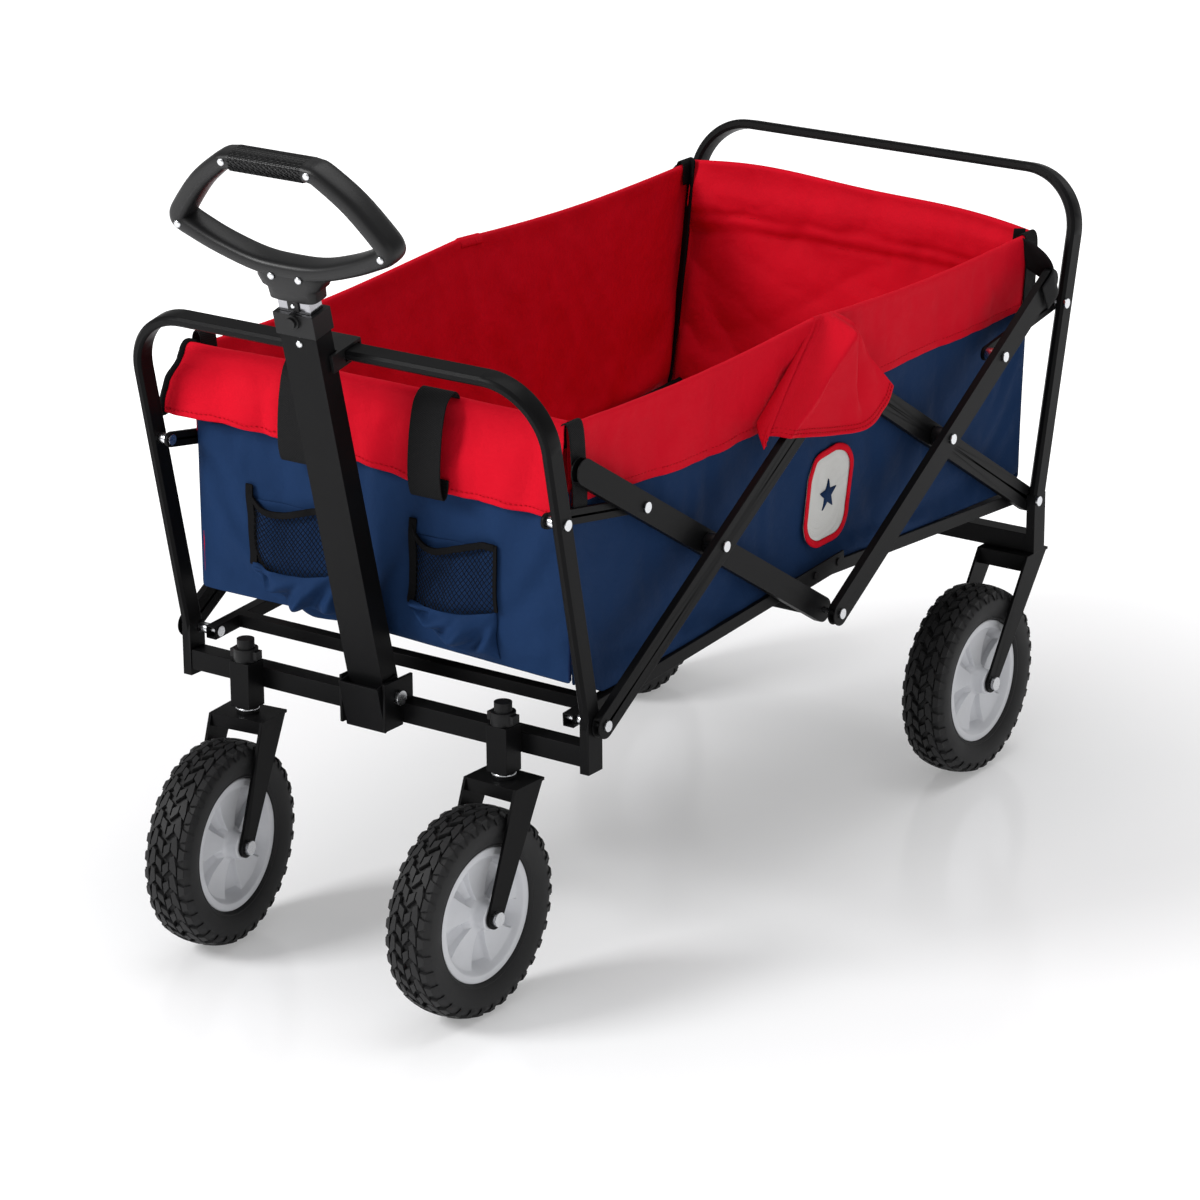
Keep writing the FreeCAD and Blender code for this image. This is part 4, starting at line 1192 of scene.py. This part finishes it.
    def build(self, body):
        carcass, tread = self.carcass(), self.tread()
        tyre = merged(self.tyre + "_treaded", [carcass, tread])
        rim = self.rim_faces()
        rim.name = self.rim + "_spoked"
        broken_edges(rim, 0.0004, 0.6)
        for obj, node in ((tyre, self.tyre), (rim, self.rim)):
            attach(obj, body)
            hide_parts(node)
            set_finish(obj, "tyre" if obj is tyre else "rim")
            for polygon in obj.data.polygons:
                polygon.use_smooth = True
            edges = obj.modifiers.new("sharp", "EDGE_SPLIT")
            edges.split_angle = 0.6


def build_wheels():
    for name in dict(SIDES):
        for end, part in (("front", "caster"), ("rear", "rear")):
            wheel = Wheel(f"{part}_tyre_{name}", f"{part}_rim_{name}", f"{end}_wheel_spin_{name}")
            wheel.build(f"{end}_wheel_{name}")


# --- handle and small fittings ---------------------------------------------------------------

PIVOT = Vector(JOINTS["handle_tilt"]["pos_m"])
SHAFT = Vector(JOINTS["handle_slide"]["axis"]).normalized()
FACE = Vector((SHAFT.z, 0, -SHAFT.x))


def on_handle(y, s, out):
    return PIVOT + SHAFT * s + Vector((0, y, 0)) + FACE * out


def screw(name, spot, radius):
    """A domed head, on the handle's face."""
    rise = radius * 0.42
    profile = [(-0.0004, radius * 0.9), (0.0, radius), (rise * 0.55, radius * 0.93),
               (rise * 0.9, radius * 0.62), (rise, 0.0001)]
    return turned(name, profile, spot, FACE, ZINC, 24)


GRIP_LINE = ((0.0, 0.447, 0.0088), (0.036, 0.4495, 0.0086), (0.076, 0.4608, 0.0086),
             (0.105, 0.4728, 0.0092), (0.1155, 0.4785, 0.0098), (0.1175, 0.4835, 0.01),
             (0.112, 0.493, 0.0099), (0.086, 0.522, 0.0096), (0.057, 0.544, 0.009),
             (0.047, 0.548, 0.0086), (0.036, 0.5485, 0.0084), (0.0, 0.5485, 0.0084))
GRIP_DEEP = 0.014


def rounded(wide, deep, turn, power=3.0):
    """A point of a rounded rectangle."""
    a, b = cos(turn), sin(turn)
    return (wide * copysign(abs(a) ** (2 / power), a), deep * copysign(abs(b) ** (2 / power), b))


def build_grip():
    """A closed loop with a stepped neck below it and ribs along the top bar."""
    half = [Vector(p) for p in GRIP_LINE]
    whole = half + [Vector((-p.x, p.y, p.z)) for p in half[-2:0:-1]]
    n = len(whole)
    line = []
    for k in range(n):
        a, b, c, d = (whole[(k + j) % n] for j in (-1, 0, 1, 2))
        line += [spline(a, b, c, d, t) for t in (0, 0.2, 0.4, 0.6, 0.8)]
    rows = []
    for k, p in enumerate(line):
        ahead = line[(k + 1) % len(line)] - line[k - 1]
        way = Vector((ahead.y, -ahead.x)).normalized()
        pad = 0.0006 if p.y > 0.54 and abs(p.x) < 0.043 else 0.0
        row = []
        for t in turns(24):
            w, d = rounded(p.z + pad, GRIP_DEEP, t)
            row.append(on_handle(p.x + way.x * w, p.y + way.y * w, d))
        rows.append(row)
    loop = lofted("grip_loop", rows, GRIP, ring=True, loop=True)
    rows = []
    for s, wide, deep in ((0.417, 0.025, 0.0112), (0.418, 0.0268, 0.0124), (0.427, 0.0276, 0.0128),
                          (0.429, 0.028, 0.013), (0.431, 0.033, 0.0134), (0.439, 0.037, 0.0136),
                          (0.444, 0.036, 0.0132), (0.449, 0.031, 0.0122)):
        spots = [rounded(wide, deep, t, 4.5) for t in turns(32)]
        rows.append([on_handle(y, s, d) for y, d in spots])
    neck = lofted("grip_neck", rows, GRIP, ring=True, caps=True)
    ribs = []
    for k in range(26):
        y = mix(-0.038, 0.038, (k // 2) / 12)
        spots = []
        for j in range(17):
            w, d = rounded(0.009, GRIP_DEEP, radians(mix(-25, 160, j / 16)))
            spots.append(on_handle(y + 0.0026 * (1 if (j + k) % 2 else -1), 0.5482 + w, d + 0.0001))
        ribs.append(tube("rib", spots, 0.0008, GRIP, 5))
    grip = merged("grip_moulded", [loop, neck, *ribs])
    for polygon in grip.data.polygons:
        polygon.use_smooth = True
    sharp = grip.modifiers.new("sharp", "EDGE_SPLIT")
    sharp.split_angle = 0.9
    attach(grip, "handle_inner")
    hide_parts("handle_grip", "handle_grip_pad")


def build_grip_fittings():
    heads = [screw("grip_screw", on_handle(side * y, s, GRIP_DEEP), 0.0038)
             for y, s in ((0.048, 0.549), (0.115, 0.478), (0.0155, 0.442)) for side in (1, -1)]
    wide, low, high = 0.006, 0.4075, 0.4165
    plate = [on_handle(y, s, out) for out in (0.009, 0.0104)
             for y, s in ((-wide, low), (wide, low), (wide, high), (-wide, high))]
    sides = [(3, 2, 1, 0), (4, 5, 6, 7), (0, 1, 5, 4), (1, 2, 6, 5), (2, 3, 7, 6), (3, 0, 4, 7)]
    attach(piece("tube_plate", plate, sides, PLASTIC, smooth=False), "handle_inner")
    heads.append(screw("plate_rivet", on_handle(0, 0.412, 0.0104), 0.0024))
    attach(screw("tube_rivet", on_handle(0, 0.3745, 0.0113), 0.0036), "handle")
    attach(merged("grip_screws", heads), "handle_inner")


def build_chrome_rings():
    for name in dict(SIDES):
        spot = Vector(JOINTS[f"caster_swivel_{name}"]["pos_m"])
        spot.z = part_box("caster_sleeves")[0].z - 0.0036
        profile = [(0.0, 0.0085), (0.0002, 0.0108), (0.001, 0.0116), (0.0024, 0.0116), (0.0032, 0.0108),
                   (0.0034, 0.0085)]
        ring = turned(f"caster_ring_{name}", profile, spot, (0, 0, 1), ZINC)
        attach(ring, "front_frame")


FINISHES = {"frame": BLACK_STEEL, "fastener": ZINC, "plastic_black": PLASTIC, "grip": GRIP, "tyre": RUBBER,
            "rim": RIM, "board": PLASTIC, "webbing": WEBBING, "inner_tube": CHROME, "fabric_red": RED,
            "fabric_navy": NAVY}


def paint_frame():
    """Every CAD node gets its finish and slightly broken edges."""
    for node in frame["nodes"].values():
        old = node.data.materials[0].name.split(".")[0]
        node.data.materials.clear()
        node.data.materials.append(FINISHES[old])
        weld = node.modifiers.new("weld", "WELD")
        weld.merge_threshold = 0.00002
        broken_edges(node, 0.0006, 0.7).harden_normals = True


def build_floor():
    points = [(-30, -30, 0), (30, -30, 0), (30, 30, 0), (-30, 30, 0)]
    piece("studio_floor", points, [(0, 1, 2, 3)], floor_paint(), smooth=False)


make_camera()
make_studio()
build_floor()
paint_frame()
WALLS = {name: build_side(name, side) for name, side in SIDES}
WALLS["front"] = build_front()
WALLS["rear"] = build_rear()
for NAME, SIDE in SIDES:
    build_flap(NAME, SIDE)
build_piping(WALLS)
build_corner_straps()
build_tip_sleeves()
build_loops()
build_pocket("left", WALLS["front"], 0.04, 0.137)
build_pocket("right", WALLS["front"], -0.15, -0.05)
build_patch(WALLS["left"])
build_mat()
build_wheels()
build_grip()
build_grip_fittings()
build_chrome_rings()
